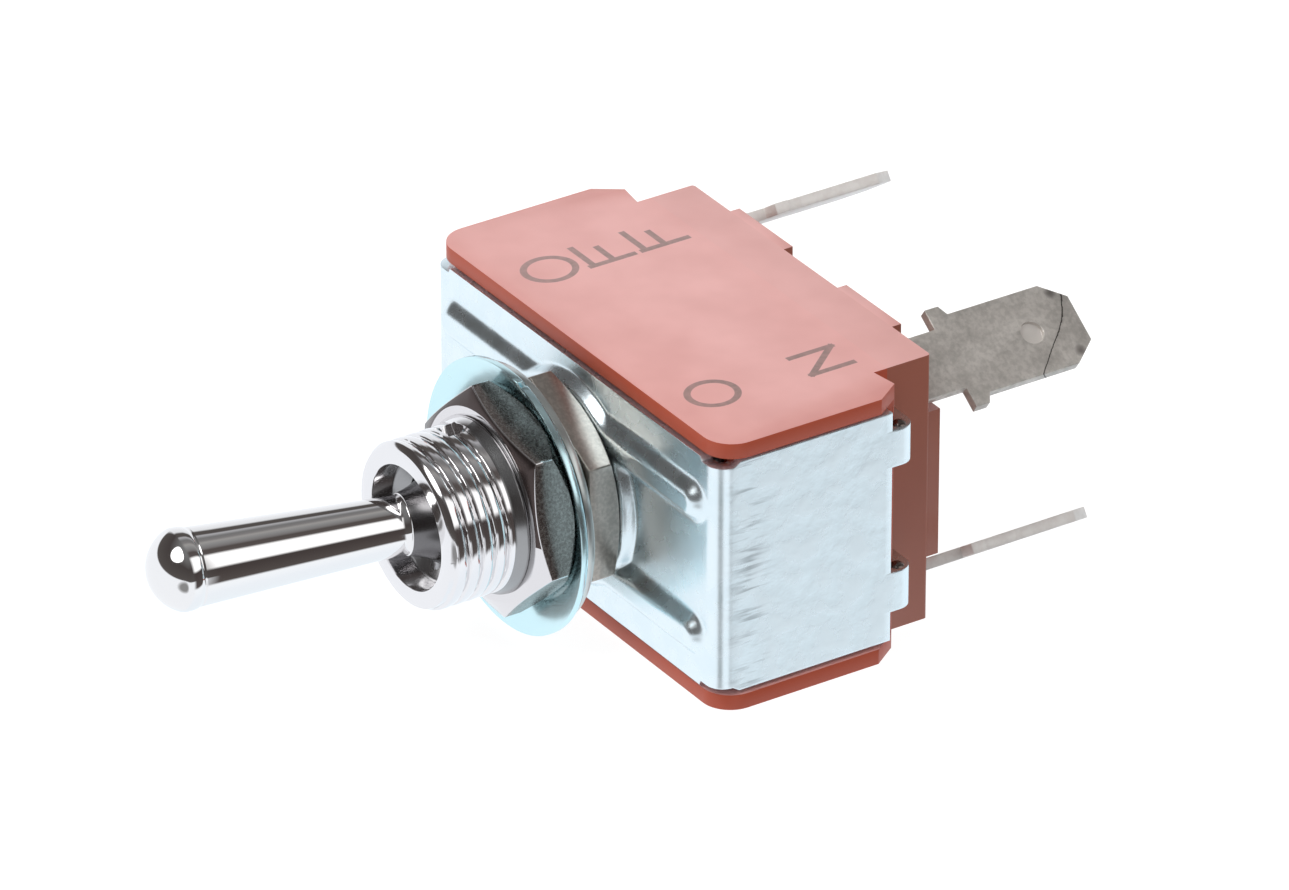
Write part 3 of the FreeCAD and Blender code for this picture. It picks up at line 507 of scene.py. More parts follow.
@dataclass(frozen=True)
class WornBlade:
    """A blade's mottling, its pale dimple, the press marks in its corners and the line across it.

    Attributes:
        dirt: Colour of the mottling.
        dirt_scale: Fineness of its noise, as noise scale per metre.
        dirt_layers: Number and share of the noise's finer layers.
        dirt_ramp: Pairs of the noise's value and the mottling's share.
        dimple: Middle of the dimple.
        dimple_size: Radius and soft edge of its pale spot.
        dimple_colour: Its colour.
        corners: Middles of the press marks.
        corner_size: Radius and soft edge of a press mark.
        corner_colour: Its colour.
        line_y: The line's place along Y at the dimple's middle.
        line_slope: Its slope.
        line_from: Where its bend starts along X.
        line_turn: How fast it bends.
        line_bend: How far it bends.
        line_half: Half its width.
        line_sharp: Steepness of its edge, per millimetre.
        line_corner: Where the blade that has the line starts along X and Z.
        line_colour: Its colour.
    """

    dirt: Triple = (0.32, 0.30, 0.275)
    dirt_scale: float = 420.0
    dirt_layers: Pair = (8.0, 0.75)
    dirt_ramp: tuple[Pair, ...] = ((0.45, 0.0), (0.68, 0.72))
    dimple: Triple = (12.2, 29.25, 7.7)
    dimple_size: Pair = (1.0, 0.1)
    dimple_colour: Triple = (0.70, 0.66, 0.62)
    corners: tuple[Triple, Triple] = ((14.1, 32.0, 6.35), (10.25, 32.05, 9.05))
    corner_size: Pair = (0.66, 0.25)
    corner_colour: Triple = (0.18, 0.16, 0.15)
    line_y: float = 31.08
    line_slope: float = 0.857
    line_from: float = 10.5
    line_turn: float = 0.98
    line_bend: float = 0.5
    line_half: float = 0.08
    line_sharp: float = 24.0
    line_corner: Pair = (8.0, 4.0)
    line_colour: Triple = (0.07, 0.06, 0.055)

    def colour(self, nodes: Nodes, place: Socket, base: Value) -> Socket:
        """Gives the colour.

        Args:
            nodes: The material's Nodes.
            place: Object coordinates.
            base: The tin's own colour.

        Returns:
            The colour's socket.
        """
        cloud = nodes.noise(place, self.dirt_scale, *self.dirt_layers)
        colour = nodes.mix(nodes.ramp(cloud, self.dirt_ramp), base, self.dirt)
        where = nodes.split(place)
        colour = nodes.mix(self._spot(nodes, where, self.dimple, self.dimple_size), colour, self.dimple_colour)
        for corner in self.corners:
            colour = nodes.mix(self._spot(nodes, where, corner, self.corner_size), colour, self.corner_colour)
        return nodes.mix(self._line(nodes, where, cloud), colour, self.line_colour)

    def _spot(self, nodes: Nodes, place: Sequence[Socket], centre: Triple, size: Pair) -> Socket:
        """Masks a ball round a point, repeated in all four quarters.

        Args:
            nodes: The material's Nodes.
            place: Place along X, Y and Z.
            centre: The ball's centre, for the quarter with +X and +Z.
            size: Its radius and the width of its soft edge.

        Returns:
            The mask's socket.
        """
        total: Value = 0.0
        for axis, value, middle in zip("XYZ", place, centre):
            value = value if axis == "Y" else nodes.math("ABSOLUTE", value)
            off = nodes.math("SUBTRACT", value, middle)
            total = nodes.math("ADD", total, nodes.product(off, off))
        radius, blur = size
        edge = nodes.math("SUBTRACT", radius, nodes.math("SQRT", total))
        return nodes.math("MULTIPLY", edge, 1 / blur, clamp=True)

    def _line(self, nodes: Nodes, place: Sequence[Socket], cloud: Socket) -> Socket:
        """Masks the line across the upper blade on the ON side.

        Args:
            nodes: The material's Nodes.
            place: Place along X, Y and Z.
            cloud: Noise that makes it ragged.

        Returns:
            The mask's socket.
        """
        x, y, z = place
        wave = nodes.math("SINE", nodes.product(nodes.math("SUBTRACT", x, self.line_from), self.line_turn))
        bend = nodes.product(nodes.math("ADD", wave, cloud), self.line_bend)
        slope = nodes.product(nodes.math("SUBTRACT", x, self.dimple[0]), self.line_slope)
        off = nodes.math("SUBTRACT", nodes.math("ADD", y, slope), nodes.math("ADD", bend, self.line_y))
        thin = nodes.math("SUBTRACT", self.line_half, nodes.math("ABSOLUTE", off))
        line = nodes.math("MULTIPLY", thin, self.line_sharp, clamp=True)
        outer = nodes.math("GREATER_THAN", x, self.line_corner[0])
        upper = nodes.math("GREATER_THAN", z, self.line_corner[1])
        return nodes.product(line, upper, outer)


@dataclass(frozen=True)
class ScratchedFold:
    """Short scratches on the frame's ends, beside their folds.

    Attributes:
        stretch: Noise scale per metre along X, Y and Z.
        layers: How many finer layers the noise has.
        ramp: Pairs of the noise's value and a scratch's strength.
        middle: Where they are strongest along Y.
        reach: How far they reach to each side of it.
        end: Where the end plates start along X.
        share: Their strength.
        scratch: Their colour.
    """

    stretch: Triple = (200.0, 260.0, 2600.0)
    layers: float = 4.0
    ramp: tuple[Pair, ...] = ((0.52, 0.0), (0.66, 1.0))
    middle: float = 2.6
    reach: float = 2.0
    end: float = 17.4
    share: float = 0.75
    scratch: Triple = (0.34, 0.38, 0.40)

    def colour(self, nodes: Nodes, place: Socket, base: Value) -> Socket:
        """Gives the colour.

        Args:
            nodes: The material's Nodes.
            place: Object coordinates.
            base: The zinc's own colour.

        Returns:
            The colour's socket.
        """
        mapping = nodes.add("Mapping")
        mapping.inputs["Scale"].default_value = self.stretch
        nodes.join(place, mapping.inputs["Vector"])
        lines = nodes.ramp(nodes.noise(mapping.outputs[0], 1.0, self.layers), self.ramp)
        x, y, _ = nodes.split(place)
        far = nodes.math("ABSOLUTE", nodes.math("SUBTRACT", y, self.middle))
        near = nodes.math("SUBTRACT", 1.0, nodes.product(far, 1 / self.reach), clamp=True)
        ends = nodes.math("GREATER_THAN", nodes.math("ABSOLUTE", x), self.end)
        return nodes.mix(nodes.product(lines, near, ends, self.share), base, self.scratch)


class Paint:
    """Makes the materials."""

    DETAILS = {Detail.PRINTED: PrintedFace(), Detail.WORN_BLADE: WornBlade(), Detail.SCRATCHED_FOLD: ScratchedFold()}

    def __init__(self) -> None:
        """Builds the shared grain."""
        self.grain = grain_group()
        self.made: dict[str, bpy.types.Material] = {}

    def get(self, finish: Finish) -> bpy.types.Material:
        """Gives the material of a finish, made the first time it is asked for.

        Args:
            finish: The Finish.

        Returns:
            The material.
        """
        if finish.name not in self.made:
            self.made[finish.name] = self._make(finish)
        return self.made[finish.name]

    def _make(self, finish: Finish) -> bpy.types.Material:
        """Builds a principled material with procedural grain.

        Args:
            finish: The Finish.

        Returns:
            The material.
        """
        material = bpy.data.materials.new(finish.name)
        material.use_nodes = True
        nodes = Nodes(material.node_tree)
        shader = material.node_tree.nodes["Principled BSDF"].inputs
        shader["Metallic"].default_value = finish.metallic
        shader["Specular IOR Level"].default_value = finish.specular
        place = nodes.add("TexCoord").outputs["Object"]
        grain = self.grain.place(
            nodes, Place=place, Scale=finish.scale, Spread=finish.grain,
            Smoothest=finish.roughness - finish.grain / 2, Colour=finish.colour,
            Stain=finish.stain or finish.colour)
        nodes.join(grain["Roughness"], shader["Roughness"])
        colour = grain["Colour"] if finish.stain else finish.colour
        if finish.detail in self.DETAILS:
            colour = self.DETAILS[finish.detail].colour(nodes, place, colour)
        nodes.feed(colour, shader["Base Color"])
        if finish.bump:
            bump = nodes.add("Bump")
            bump.inputs["Distance"].default_value = finish.bump
            nodes.join(grain["Grain"], bump.inputs["Height"])
            nodes.join(bump.outputs[0], shader["Normal"])
        return material


CHROME = Finish("chrome_lever", (0.82, 0.81, 0.81), 1.0, 0.05, 0.02)
# Dark chrome for the lever's neck, which sits inside the bushing: partly a less polished finish, partly painted
# shade.
NECK_AND_SHADE = Finish("chrome_neck_painted_shade", (0.18, 0.175, 0.18), 1.0, 0.24, 0.05, 900)
BUSHING = Finish("chrome_bushing", (0.80, 0.79, 0.80), 1.0, 0.10, 0.05, 900)
# Darker, rougher chrome for the bore and one side of the collar: the roughness is the bore's finish, the darkness is
# painted shade.
BORE_AND_SHADE = Finish("chrome_bore_painted_shade", (0.34, 0.34, 0.345), 1.0, 0.24, 0.1, 900)
# Near-black metal for the balls in the tabs' dents: painted shade.
DENT_SHADE = Finish("punch_dent_painted_shade", (0.16, 0.13, 0.12), 1.0, 0.25, 0.2, 2500)
NUT_DARK = Finish("nut_dark", (0.235, 0.20, 0.187), 1.0, 0.27, 0.2, 5200, bump=7e-6, stain=(0.365, 0.325, 0.305))
# Bright chrome for the front nut's front face, and painted highlights on its rims, corners and lower cut.
NUT_FACE_AND_GLINT = Finish("nut_face_painted_highlight", (0.72, 0.70, 0.71), 1.0, 0.12, 0.1, 2400)
# Near-black for the upper half of the front nut's cut: painted shade.
NUT_CUT_SHADE = Finish("nut_cut_painted_shade", (0.075, 0.058, 0.055), 1.0, 0.25, 0.1, 2400)
# The back nut's warm grey-brown plating, darkened further as painted shade.
BACK_NUT_SHADED = Finish("nut_back", (0.42, 0.39, 0.355), 1.0, 0.36, 0.12, 3800, stain=(0.52, 0.485, 0.44))
RING = Finish("ring_zinc", (0.63, 0.86, 0.91), 1.0, 0.24, 0.15, 900)
WASHER = Finish("washer_zinc", (0.60, 0.64, 0.63), 1.0, 0.30, 0.15, 900)
ZINC = Finish("zinc_sheet", (0.75, 0.855, 0.90), 1.0, 0.27, 0.14, 500, bump=3e-5, stain=(0.79, 0.885, 0.925),
              detail=Detail.SCRATCHED_FOLD)
TINNED = Finish("tinned_blade", (0.61, 0.575, 0.535), 0.55, 0.44, 0.2, 2600, stain=(0.50, 0.47, 0.435),
                detail=Detail.WORN_BLADE)
TIN_PALE = Finish("tinned_pale", (0.83, 0.80, 0.77), 0.25, 0.45, 0.2, 1500, stain=(0.78, 0.74, 0.71))
MOULDED = Finish("moulded_red", (0.50, 0.088, 0.042), 0.0, 0.42, 0.1, 700, specular=0.35, detail=Detail.PRINTED)
DARK = Finish("fibre_dark", (0.05, 0.045, 0.04), 0.0, 0.6)
INNER = Finish("inner_pale", (0.7, 0.68, 0.62), 0.0, 0.5)
COPPER = Finish("copper_alloy", (0.78, 0.50, 0.28), 1.0, 0.3)
SILVER = Finish("silver_face", (0.85, 0.85, 0.83), 1.0, 0.25)
STEEL = Finish("plain_steel", (0.55, 0.55, 0.56), 1.0, 0.3)

LOOKS = {
    "case": Look("moulded", (MOULDED,)),
    "frame": Look("zinc_sheet", (ZINC,)),
    "bushing": Look("bright_plate", (BUSHING, BORE_AND_SHADE)),
    "hex_nut_back": Look("nickel", (BACK_NUT_SHADED,)),
    "lock_washer": Look("zinc_dark", (WASHER,)),
    "locking_ring": Look("zinc_pale", (RING,)),
    "hex_nut_front": Look("dark_plate", (NUT_DARK, NUT_FACE_AND_GLINT, NUT_CUT_SHADE)),
    "toggle_lever": Look("lever_plate", (CHROME, NECK_AND_SHADE)),
    "pivot_pin": Look("steel", (STEEL,)),
    "insulating_liner": Look("fibre", (DARK,)),
    "actuator_carrier": Look("carrier", (INNER,)),
    **{piece + "_" + half.value: look for half in Half for piece, look in (
        ("plunger", Look("plunger", (INNER,))),
        ("spring", Look("spring_wire", (STEEL,))),
        ("rocker", Look("copper_alloy", (COPPER,))),
        ("moving_contact", Look("silver", (SILVER,))),
        ("fixed_contact", Look("silver", (SILVER,))))},
    "line_terminal_top": Look("tinned", (TINNED,)),
    "line_terminal_bottom": Look("tinned", (TIN_PALE,)),
    "load_terminal_top": Look("tinned", (TIN_PALE,)),
    "load_terminal_bottom": Look("tinned", (TINNED,)),
}


def ease(value: float, low: float, high: float) -> float:
    """Smooth step.

    Args:
        value: Where.
        low: Place of 0.
        high: Place of 1.

    Returns:
        A number from 0 to 1.
    """
    part = min(1.0, max(0.0, (value - low) / (high - low)))
    return part * part * (3 - 2 * part)


def steps(*marks: float) -> list[float]:
    """Splits ranges evenly.

    Args:
        marks: First value, then pairs of a count and the next value.

    Returns:
        The list of values.
    """
    values = [marks[0]]
    for count, end in zip(marks[1::2], marks[2::2]):
        start = values[-1]
        values += [start + (end - start) * k / count for k in range(1, count + 1)]
    return values


class Shaper:
    """Makes and finishes meshes.

    Attributes:
        WELD: Points nearer than this are welded, in metres.
        CAD_WELD: The same for a CAD piece.
        CAD_FLAT: Its faces that meet at less than this become one, in degrees.
        CAD_EDGE: Its edges sharper than this are rounded, in degrees.
    """

    WELD = 1e-7
    CAD_WELD = 2e-6
    CAD_FLAT = 1.5
    CAD_EDGE = 28.0

    def object(self, name: str, points: Sequence[Triple], faces: Sequence[tuple[int, ...]]) -> bpy.types.Object:
        """Makes an object.

        Args:
            name: Its name.
            points: Vertices in millimetres.
            faces: Tuples of vertex numbers.

        Returns:
            The object.
        """
        mesh = bpy.data.meshes.new(name)
        mesh.from_pydata([Vector(point) * MM for point in points], [], faces)
        mesh.validate()
        return self.link(name, mesh)

    def link(self, name: str, mesh: bpy.types.Mesh) -> bpy.types.Object:
        """Puts a mesh into the scene as an object.

        Args:
            name: Its name.
            mesh: The mesh.

        Returns:
            The object.
        """
        thing = bpy.data.objects.new(name, mesh)
        bpy.context.scene.collection.objects.link(thing)
        return thing

    def grid(self, name: str, rows: Sequence[Sequence[Triple]], ring: bool = False,
             keep: Callable[[int, int], bool] | None = None) -> bpy.types.Object:
        """Makes a surface from rows of points.

        Args:
            name: Its name.
            rows: Lists of points, all of one length.
            ring: Whether each row closes on itself.
            keep: Function of row and column that says which faces stay.

        Returns:
            The object.
        """
        wide = len(rows[0])
        faces = []
        for i in range(len(rows) - 1):
            for j in range(wide if ring else wide - 1):
                if keep and not keep(i, j):
                    continue
                after = (j + 1) % wide
                faces.append((i * wide + j, i * wide + after, (i + 1) * wide + after, (i + 1) * wide + j))
        return self.object(name, [point for row in rows for point in row], faces)

    def lathe(self, name: str, profile: Sequence[Pair], count: int,
              bend: Callable[[float, float, float], float] | None = None) -> bpy.types.Object:
        """Turns a profile round the Y axis.

        Args:
            name: Its name.
            profile: Pairs of radius and y.
            count: Points round the axis.
            bend: Function of radius, y and angle that gives another radius.

        Returns:
            The object.
        """
        rows = []
        for radius, along in profile:
            row = []
            for k in range(count):
                angle = math.tau * k / count
                real = bend(radius, along, angle) if bend else radius
                row.append((real * math.cos(angle), along, real * math.sin(angle)))
            rows.append(row)
        return self.grid(name, rows, ring=True)

    def copy(self, node: bpy.types.Object, name: str, bevel: float) -> bpy.types.Object:
        """Copies a CAD piece with its edges rounded.

        Args:
            node: The CAD object.
            name: Name of the copy.
            bevel: Width of the rounding.

        Returns:
            The copy.
        """
        shape = bmesh.new()
        shape.from_mesh(node.data)
        bmesh.ops.remove_doubles(shape, verts=shape.verts, dist=self.CAD_WELD)
        flat = math.radians(self.CAD_FLAT)
        bmesh.ops.dissolve_limit(shape, angle_limit=flat, verts=shape.verts, edges=shape.edges)
        mesh = bpy.data.meshes.new(name)
        shape.to_mesh(mesh)
        shape.free()
        thing = self.link(name, mesh)
        self.round_off(thing, bevel, self.CAD_EDGE)
        return thing

    def round_off(self, thing: bpy.types.Object, width: float, angle: float) -> None:
        """Rounds the sharp edges of an object.

        Args:
            thing: The object.
            width: Width of the rounding.
            angle: Edges sharper than this are rounded, in degrees.
        """
        bevel = thing.modifiers.new("round", "BEVEL")
        bevel.width = width * MM
        bevel.segments = 2
        bevel.limit_method = "ANGLE"
        bevel.angle_limit = math.radians(angle)

    def bake(self, thing: bpy.types.Object, sharp: float = 40) -> bpy.types.Object:
        """Applies an object's modifiers and smooths its shading.

        Args:
            thing: The object.
            sharp: Edges sharper than this stay sharp, in degrees.

        Returns:
            The object.
        """
        graph = bpy.context.evaluated_depsgraph_get()
        mesh = bpy.data.meshes.new_from_object(thing.evaluated_get(graph))
        thing.modifiers.clear()
        thing.data = mesh
        mesh.shade_smooth()
        mesh.set_sharp_from_angle(angle=math.radians(sharp))
        return thing

    def outward(self, thing: bpy.types.Object, weld: bool = False) -> None:
        """Turns all faces outwards.

        Args:
            thing: The object.
            weld: Whether points in one place become one first.
        """
        shape = bmesh.new()
        shape.from_mesh(thing.data)
        if weld:
            bmesh.ops.remove_doubles(shape, verts=shape.verts, dist=self.WELD)
        bmesh.ops.recalc_face_normals(shape, faces=shape.faces)
        shape.to_mesh(thing.data)
        shape.free()


class Workshop:
    """What the sub-assemblies need: the CAD pieces, the paint and the shaper."""

    def __init__(self, frame: dict[str, Any]) -> None:
        """Makes the paint and the shaper.
        """
        self.nodes = frame["nodes"]
        self.joints = {joint["name"]: joint for joint in frame["record"]["behaviour"]["joints"]}
        self.paint = Paint()
        self.shaper = Shaper()

    def place(self, thing: bpy.types.Object, node: str, body: Body = Body.HOUSING) -> None:
        """Puts a finer shape in a CAD piece's place.

        Args:
            thing: The shape.
            node: Name of the CAD piece.
            body: Body that it rides on.
        """
        look = LOOKS[node]
        numbers = [face.material_index for face in thing.data.polygons]
        thing.data.materials.clear()
        for finish in look.finishes:
            thing.data.materials.append(self.paint.get(finish))
        if len(look.finishes) > 1:
            thing.data.polygons.foreach_set("material_index", numbers)
        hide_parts(node)
        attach(thing, body.value)
        log.info("%s in place of %s", thing.name, node)


class Mechanism:
    """All CAD pieces as they come, with their materials."""

    def build(self, shop: Workshop) -> None:
        """Gives each CAD piece its material.

        Args:
            shop: The Workshop.
        """
        for name, look in LOOKS.items():
            node = shop.nodes[name]
            node.data.materials.clear()
            node.data.materials.append(shop.paint.get(look.finishes[0]))
        log.info("%d CAD pieces painted", len(LOOKS))


@dataclass(frozen=True)
class RoundedPieces:
    """CAD pieces shown with rounded edges. The sizes are the widths of the rounding."""

    case: float = 0.10
    hex_nut_back: float = 0.10
    lock_washer: float = 0.06
    locking_ring: float = 0.08
    line_terminal_top: float = 0.06
    line_terminal_bottom: float = 0.06
    load_terminal_top: float = 0.06
    load_terminal_bottom: float = 0.06

    def build(self, shop: Workshop) -> None:
        """Makes the rounded copies.

        Args:
            shop: The Workshop.
        """
        for name, width in vars(self).items():
            thing = shop.shaper.copy(shop.nodes[name], name + "_rounded", width)
            shop.place(shop.shaper.bake(thing), name)


@dataclass(frozen=True)
class FrameSheet:
    """The folded frame as a sheet with its pressed ribs and boss, measured over its outside.

    Attributes:
        end: Half the length over the end plates.
        depth: Back edge of the end plates.
        fold: Radius of the folds.
        thick: Thickness of the sheet.
        half: Half the height.
        notch: Half the height at the cut corners.
        notch_from: Where the cut corners start along the plate.
        notch_depth: How far back they reach.
        hole: Radius of the bushing's hole.
        press: Height of the ribs and the boss.
        boss: Radius of the boss.
        boss_flank: How far its flank reaches in and out from there.
        rib_z: Middle of a rib above the axis.
        rib_end: End of a rib along the plate.
        rib_nose: Length of its rounded end.
        rib_in: Half the width of a rib's flat top.
        rib_out: Half its width at the foot.
        tab_in: Lower end of the tabs' rows of points.
        tab_out: Their upper end.
        tab_back: Rear face of the tabs.
        tab_bend: Radius of the tabs' folds.
        tab_reach: Reach of the tabs behind the case.
        tabs: Lower and upper edge of each tab.
        rounding: Width of the rounding of its edges.
        plain: A place along the plate where it is flat.
        plate_parts: Faces along half the plate.
        fold_parts: Faces round a fold.
        end_parts: Faces along an end plate.
        bend_parts: Faces round a tab's fold.
        up_parts: Faces from the edge to the tabs, over the tabs and between them.
    """

    end: float = 17.8
    depth: float = 14.1
    fold: float = 1.3
    thick: float = 1.0
    half: float = 8.85
    notch: float = 8.5
    notch_from: float = 15.7
    notch_depth: float = 1.6
    hole: float = 6.15
    press: float = 0.85
    boss: float = 7.7
    boss_flank: Pair = (0.4, 0.3)
    rib_z: float = 5.15
    rib_end: float = 16.6
    rib_nose: float = 1.75
    rib_in: float = 0.5
    rib_out: float = 1.8
    tab_in: float = 3.6
    tab_out: float = 7.4
    tab_back: float = 16.1
    tab_bend: float = 1.1
    tab_reach: float = 2.9
    tabs: tuple[Pair, Pair] = ((4.6, 7.4), (-6.65, -3.6))
    rounding: float = 0.12
    plain: float = 12.0
    plate_parts: int = 120
    fold_parts: int = 8
    end_parts: int = 24
    bend_parts: int = 6
    up_parts: tuple[int, int, int] = (12, 30, 52)

    def lift(self, across: float, up: float) -> float:
        """Height of the pressed shape.

        Args:
            across: x.
            up: z.

        Returns:
            Millimetres in front of the plate.
        """
        inner, outer = self.boss_flank
        boss = 1 - ease(math.hypot(across, up), self.boss - inner, self.boss + outer)
        past = max(0.0, abs(across) - self.rib_end + self.rib_nose)
        rib = 1 - ease(math.hypot(past, abs(up) - self.rib_z), self.rib_in, self.rib_out)
        return self.press * (1 - (1 - boss) * (1 - rib))

    def profile(self) -> list[tuple[float, float, bool]]:
        """Follows the sheet's outside over one half, from the middle of the plate to a tab's end.

        Returns:
            Tuples of x, y and whether the point is past the end plate.
        """
        path = [(x, 0.0, False) for x in steps(0.0, self.plate_parts, self.end - self.fold)]
        for turn in steps(0.0, self.fold_parts, 90.0)[1:]:
            turn = math.radians(turn)
            path.append((self.end - self.fold + self.fold * math.sin(turn),
                         self.fold - self.fold * math.cos(turn), False))
        path += [(self.end, y, False) for y in steps(self.fold, self.end_parts, self.depth)[1:]]
        path.append((self.end, self.tab_back - self.tab_bend, True))
        for turn in steps(0.0, self.bend_parts, 90.0)[1:]:
            turn = math.radians(turn)
            path.append((self.end - self.tab_bend + self.tab_bend * math.cos(turn),
                         self.tab_back - self.tab_bend + self.tab_bend * math.sin(turn), True))
        path.append((self.end - self.tab_reach, self.tab_back, True))
        return path

    def corner(self, x: float, y: float, up: float) -> float:
        """Draws the sheet's upper and lower edges in at the cut corners.

        Args:
            x: Place along the plate.
            y: Place behind it.
            up: Height before.

        Returns:
            The height there.
        """
        if abs(up) <= self.tab_out:
            return up
        high = self.notch if abs(x) > self.notch_from and y < self.notch_depth else self.half
        part = (abs(up) - self.tab_out) / (self.half - self.tab_out)
        return math.copysign(self.tab_out + part * (high - self.tab_out), up)

    def sheet(self, shaper: Shaper) -> bpy.types.Object:
        """Makes the sheet without thickness.

        Args:
            shaper: The Shaper.

        Returns:
            The object.
        """
        half = self.profile()
        path = [(-x, y, tab) for x, y, tab in reversed(half[1:])] + half
        edge, tab, between = self.up_parts
        ups = steps(-self.half, edge, -self.tab_out, tab, -self.tab_in, between,
                    self.tab_in, tab, self.tab_out, edge, self.half)
        rows = [[(x, y - (self.lift(x, up) if y == 0.0 else 0.0), self.corner(x, y, up)) for up in ups]
                for x, y, _ in path]

        def keep(i: int, j: int) -> bool:
            """Says whether a face is part of the sheet: not in the hole, nor beside a tab.

            Args:
                i: Its row.
                j: Its column.

            Returns:
                True if it stays.
            """
            up = (ups[j] + ups[j + 1]) / 2
            if path[i][2] or path[i + 1][2]:
                return any(low < up < high for low, high in self.tabs)
            return not (path[i][1] == 0.0 and math.hypot(path[i][0], up) < self.hole)

        return shaper.grid("frame_sheet", rows, keep=keep)

    def build(self, shop: Workshop) -> None:
        """Makes the frame.

        Args:
            shop: The Workshop.
        """
        sheet = self.sheet(shop.shaper)
        shape = bmesh.new()
        shape.from_mesh(sheet.data)
        loose = [vert for vert in shape.verts if not vert.link_faces]
        bmesh.ops.delete(shape, geom=loose, context="VERTS")
        shape.normal_update()
        # The plate's faces have to look forward.
        beside = Vector((self.plain * MM, 0, 0))
        middle = min(shape.faces, key=lambda face: (face.calc_center_median() - beside).length)
        if middle.normal.y > 0:
            bmesh.ops.reverse_faces(shape, faces=shape.faces)
        shape.to_mesh(sheet.data)
        shape.free()
        solid = sheet.modifiers.new("thick", "SOLIDIFY")
        solid.thickness = self.thick * MM
        solid.offset = -1
        shop.shaper.round_off(sheet, self.rounding, angle=60)
        shop.place(shop.shaper.bake(sheet, sharp=50), "frame")


class Springs:
    """The two springs, riding on the lever's body."""

    def build(self, shop: Workshop) -> None:
        """Makes the springs.

        Args:
            shop: The Workshop.
        """
        for half in Half:
            self._spring(shop, half)

    def _spring(self, shop: Workshop, half: Half) -> None:
        """Makes one spring.

        Args:
            shop: The Workshop.
            half: Its pole.
        """
        name, slide = "spring_" + half.value, "plunger_slide_" + half.value
        thing = shop.shaper.link(name + "_wire", shop.nodes[name].data.copy())
        shop.place(shop.shaper.bake(thing), name, Body.LEVER)
        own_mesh(thing)


@dataclass(frozen=True)
class PunchMarks:
    """Dark balls at the upper ends of the crimp tabs, where they have punched dents; their dark colour is painted
    shade in the dents.

    Attributes:
        radius: Radius of a mark.
        across: Its middle along X.
        back: Its middle along Y.
        down: How far its middle is below the tab's upper edge.
        rows: Faces from pole to pole.
        round: Faces round it.
    """

    radius: float = 0.62
    across: float = 17.05
    back: float = 15.1
    down: float = 0.35
    rows: int = 8
    round: int = 16

    def build(self, shop: Workshop) -> None:
        """Makes the marks.

        Args:
            shop: The Workshop.
        """
        points: list[Triple] = []
        faces: list[tuple[int, ...]] = []
        for side in (-1, 1):
            for _, up in FrameSheet().tabs:
                self._ball(points, faces, side * self.across, up - self.down)
        marks = shop.shaper.object("punch_marks", points, faces)
        shop.shaper.outward(marks)
        shop.shaper.bake(marks)
        # The balls take the near-black finish: painted shade in the dents.
        marks.data.materials.append(shop.paint.get(DENT_SHADE))
        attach(marks, "housing")
        log.info("punch_marks on the frame")

    def _ball(self, points: list[Triple], faces: list[tuple[int, ...]], x: float, z: float) -> None:
        """Adds one ball.

        Args:
            points: List that its points go to.
            faces: List that its faces go to.
            x: Its middle along X.
            z: Its middle along Z.
        """
        start = len(points)
        for i in range(self.rows + 1):
            high = math.pi * i / self.rows
            for j in range(self.round):
                turn = math.tau * j / self.round
                points.append((x + self.radius * math.sin(high) * math.cos(turn),
                               self.back + self.radius * math.sin(high) * math.sin(turn),
                               z + self.radius * math.cos(high)))
        for i in range(self.rows):
            row = start + i * self.round
            for j in range(self.round):
                after = (j + 1) % self.round
                faces.append((row + j, row + after, row + self.round + after, row + self.round + j))


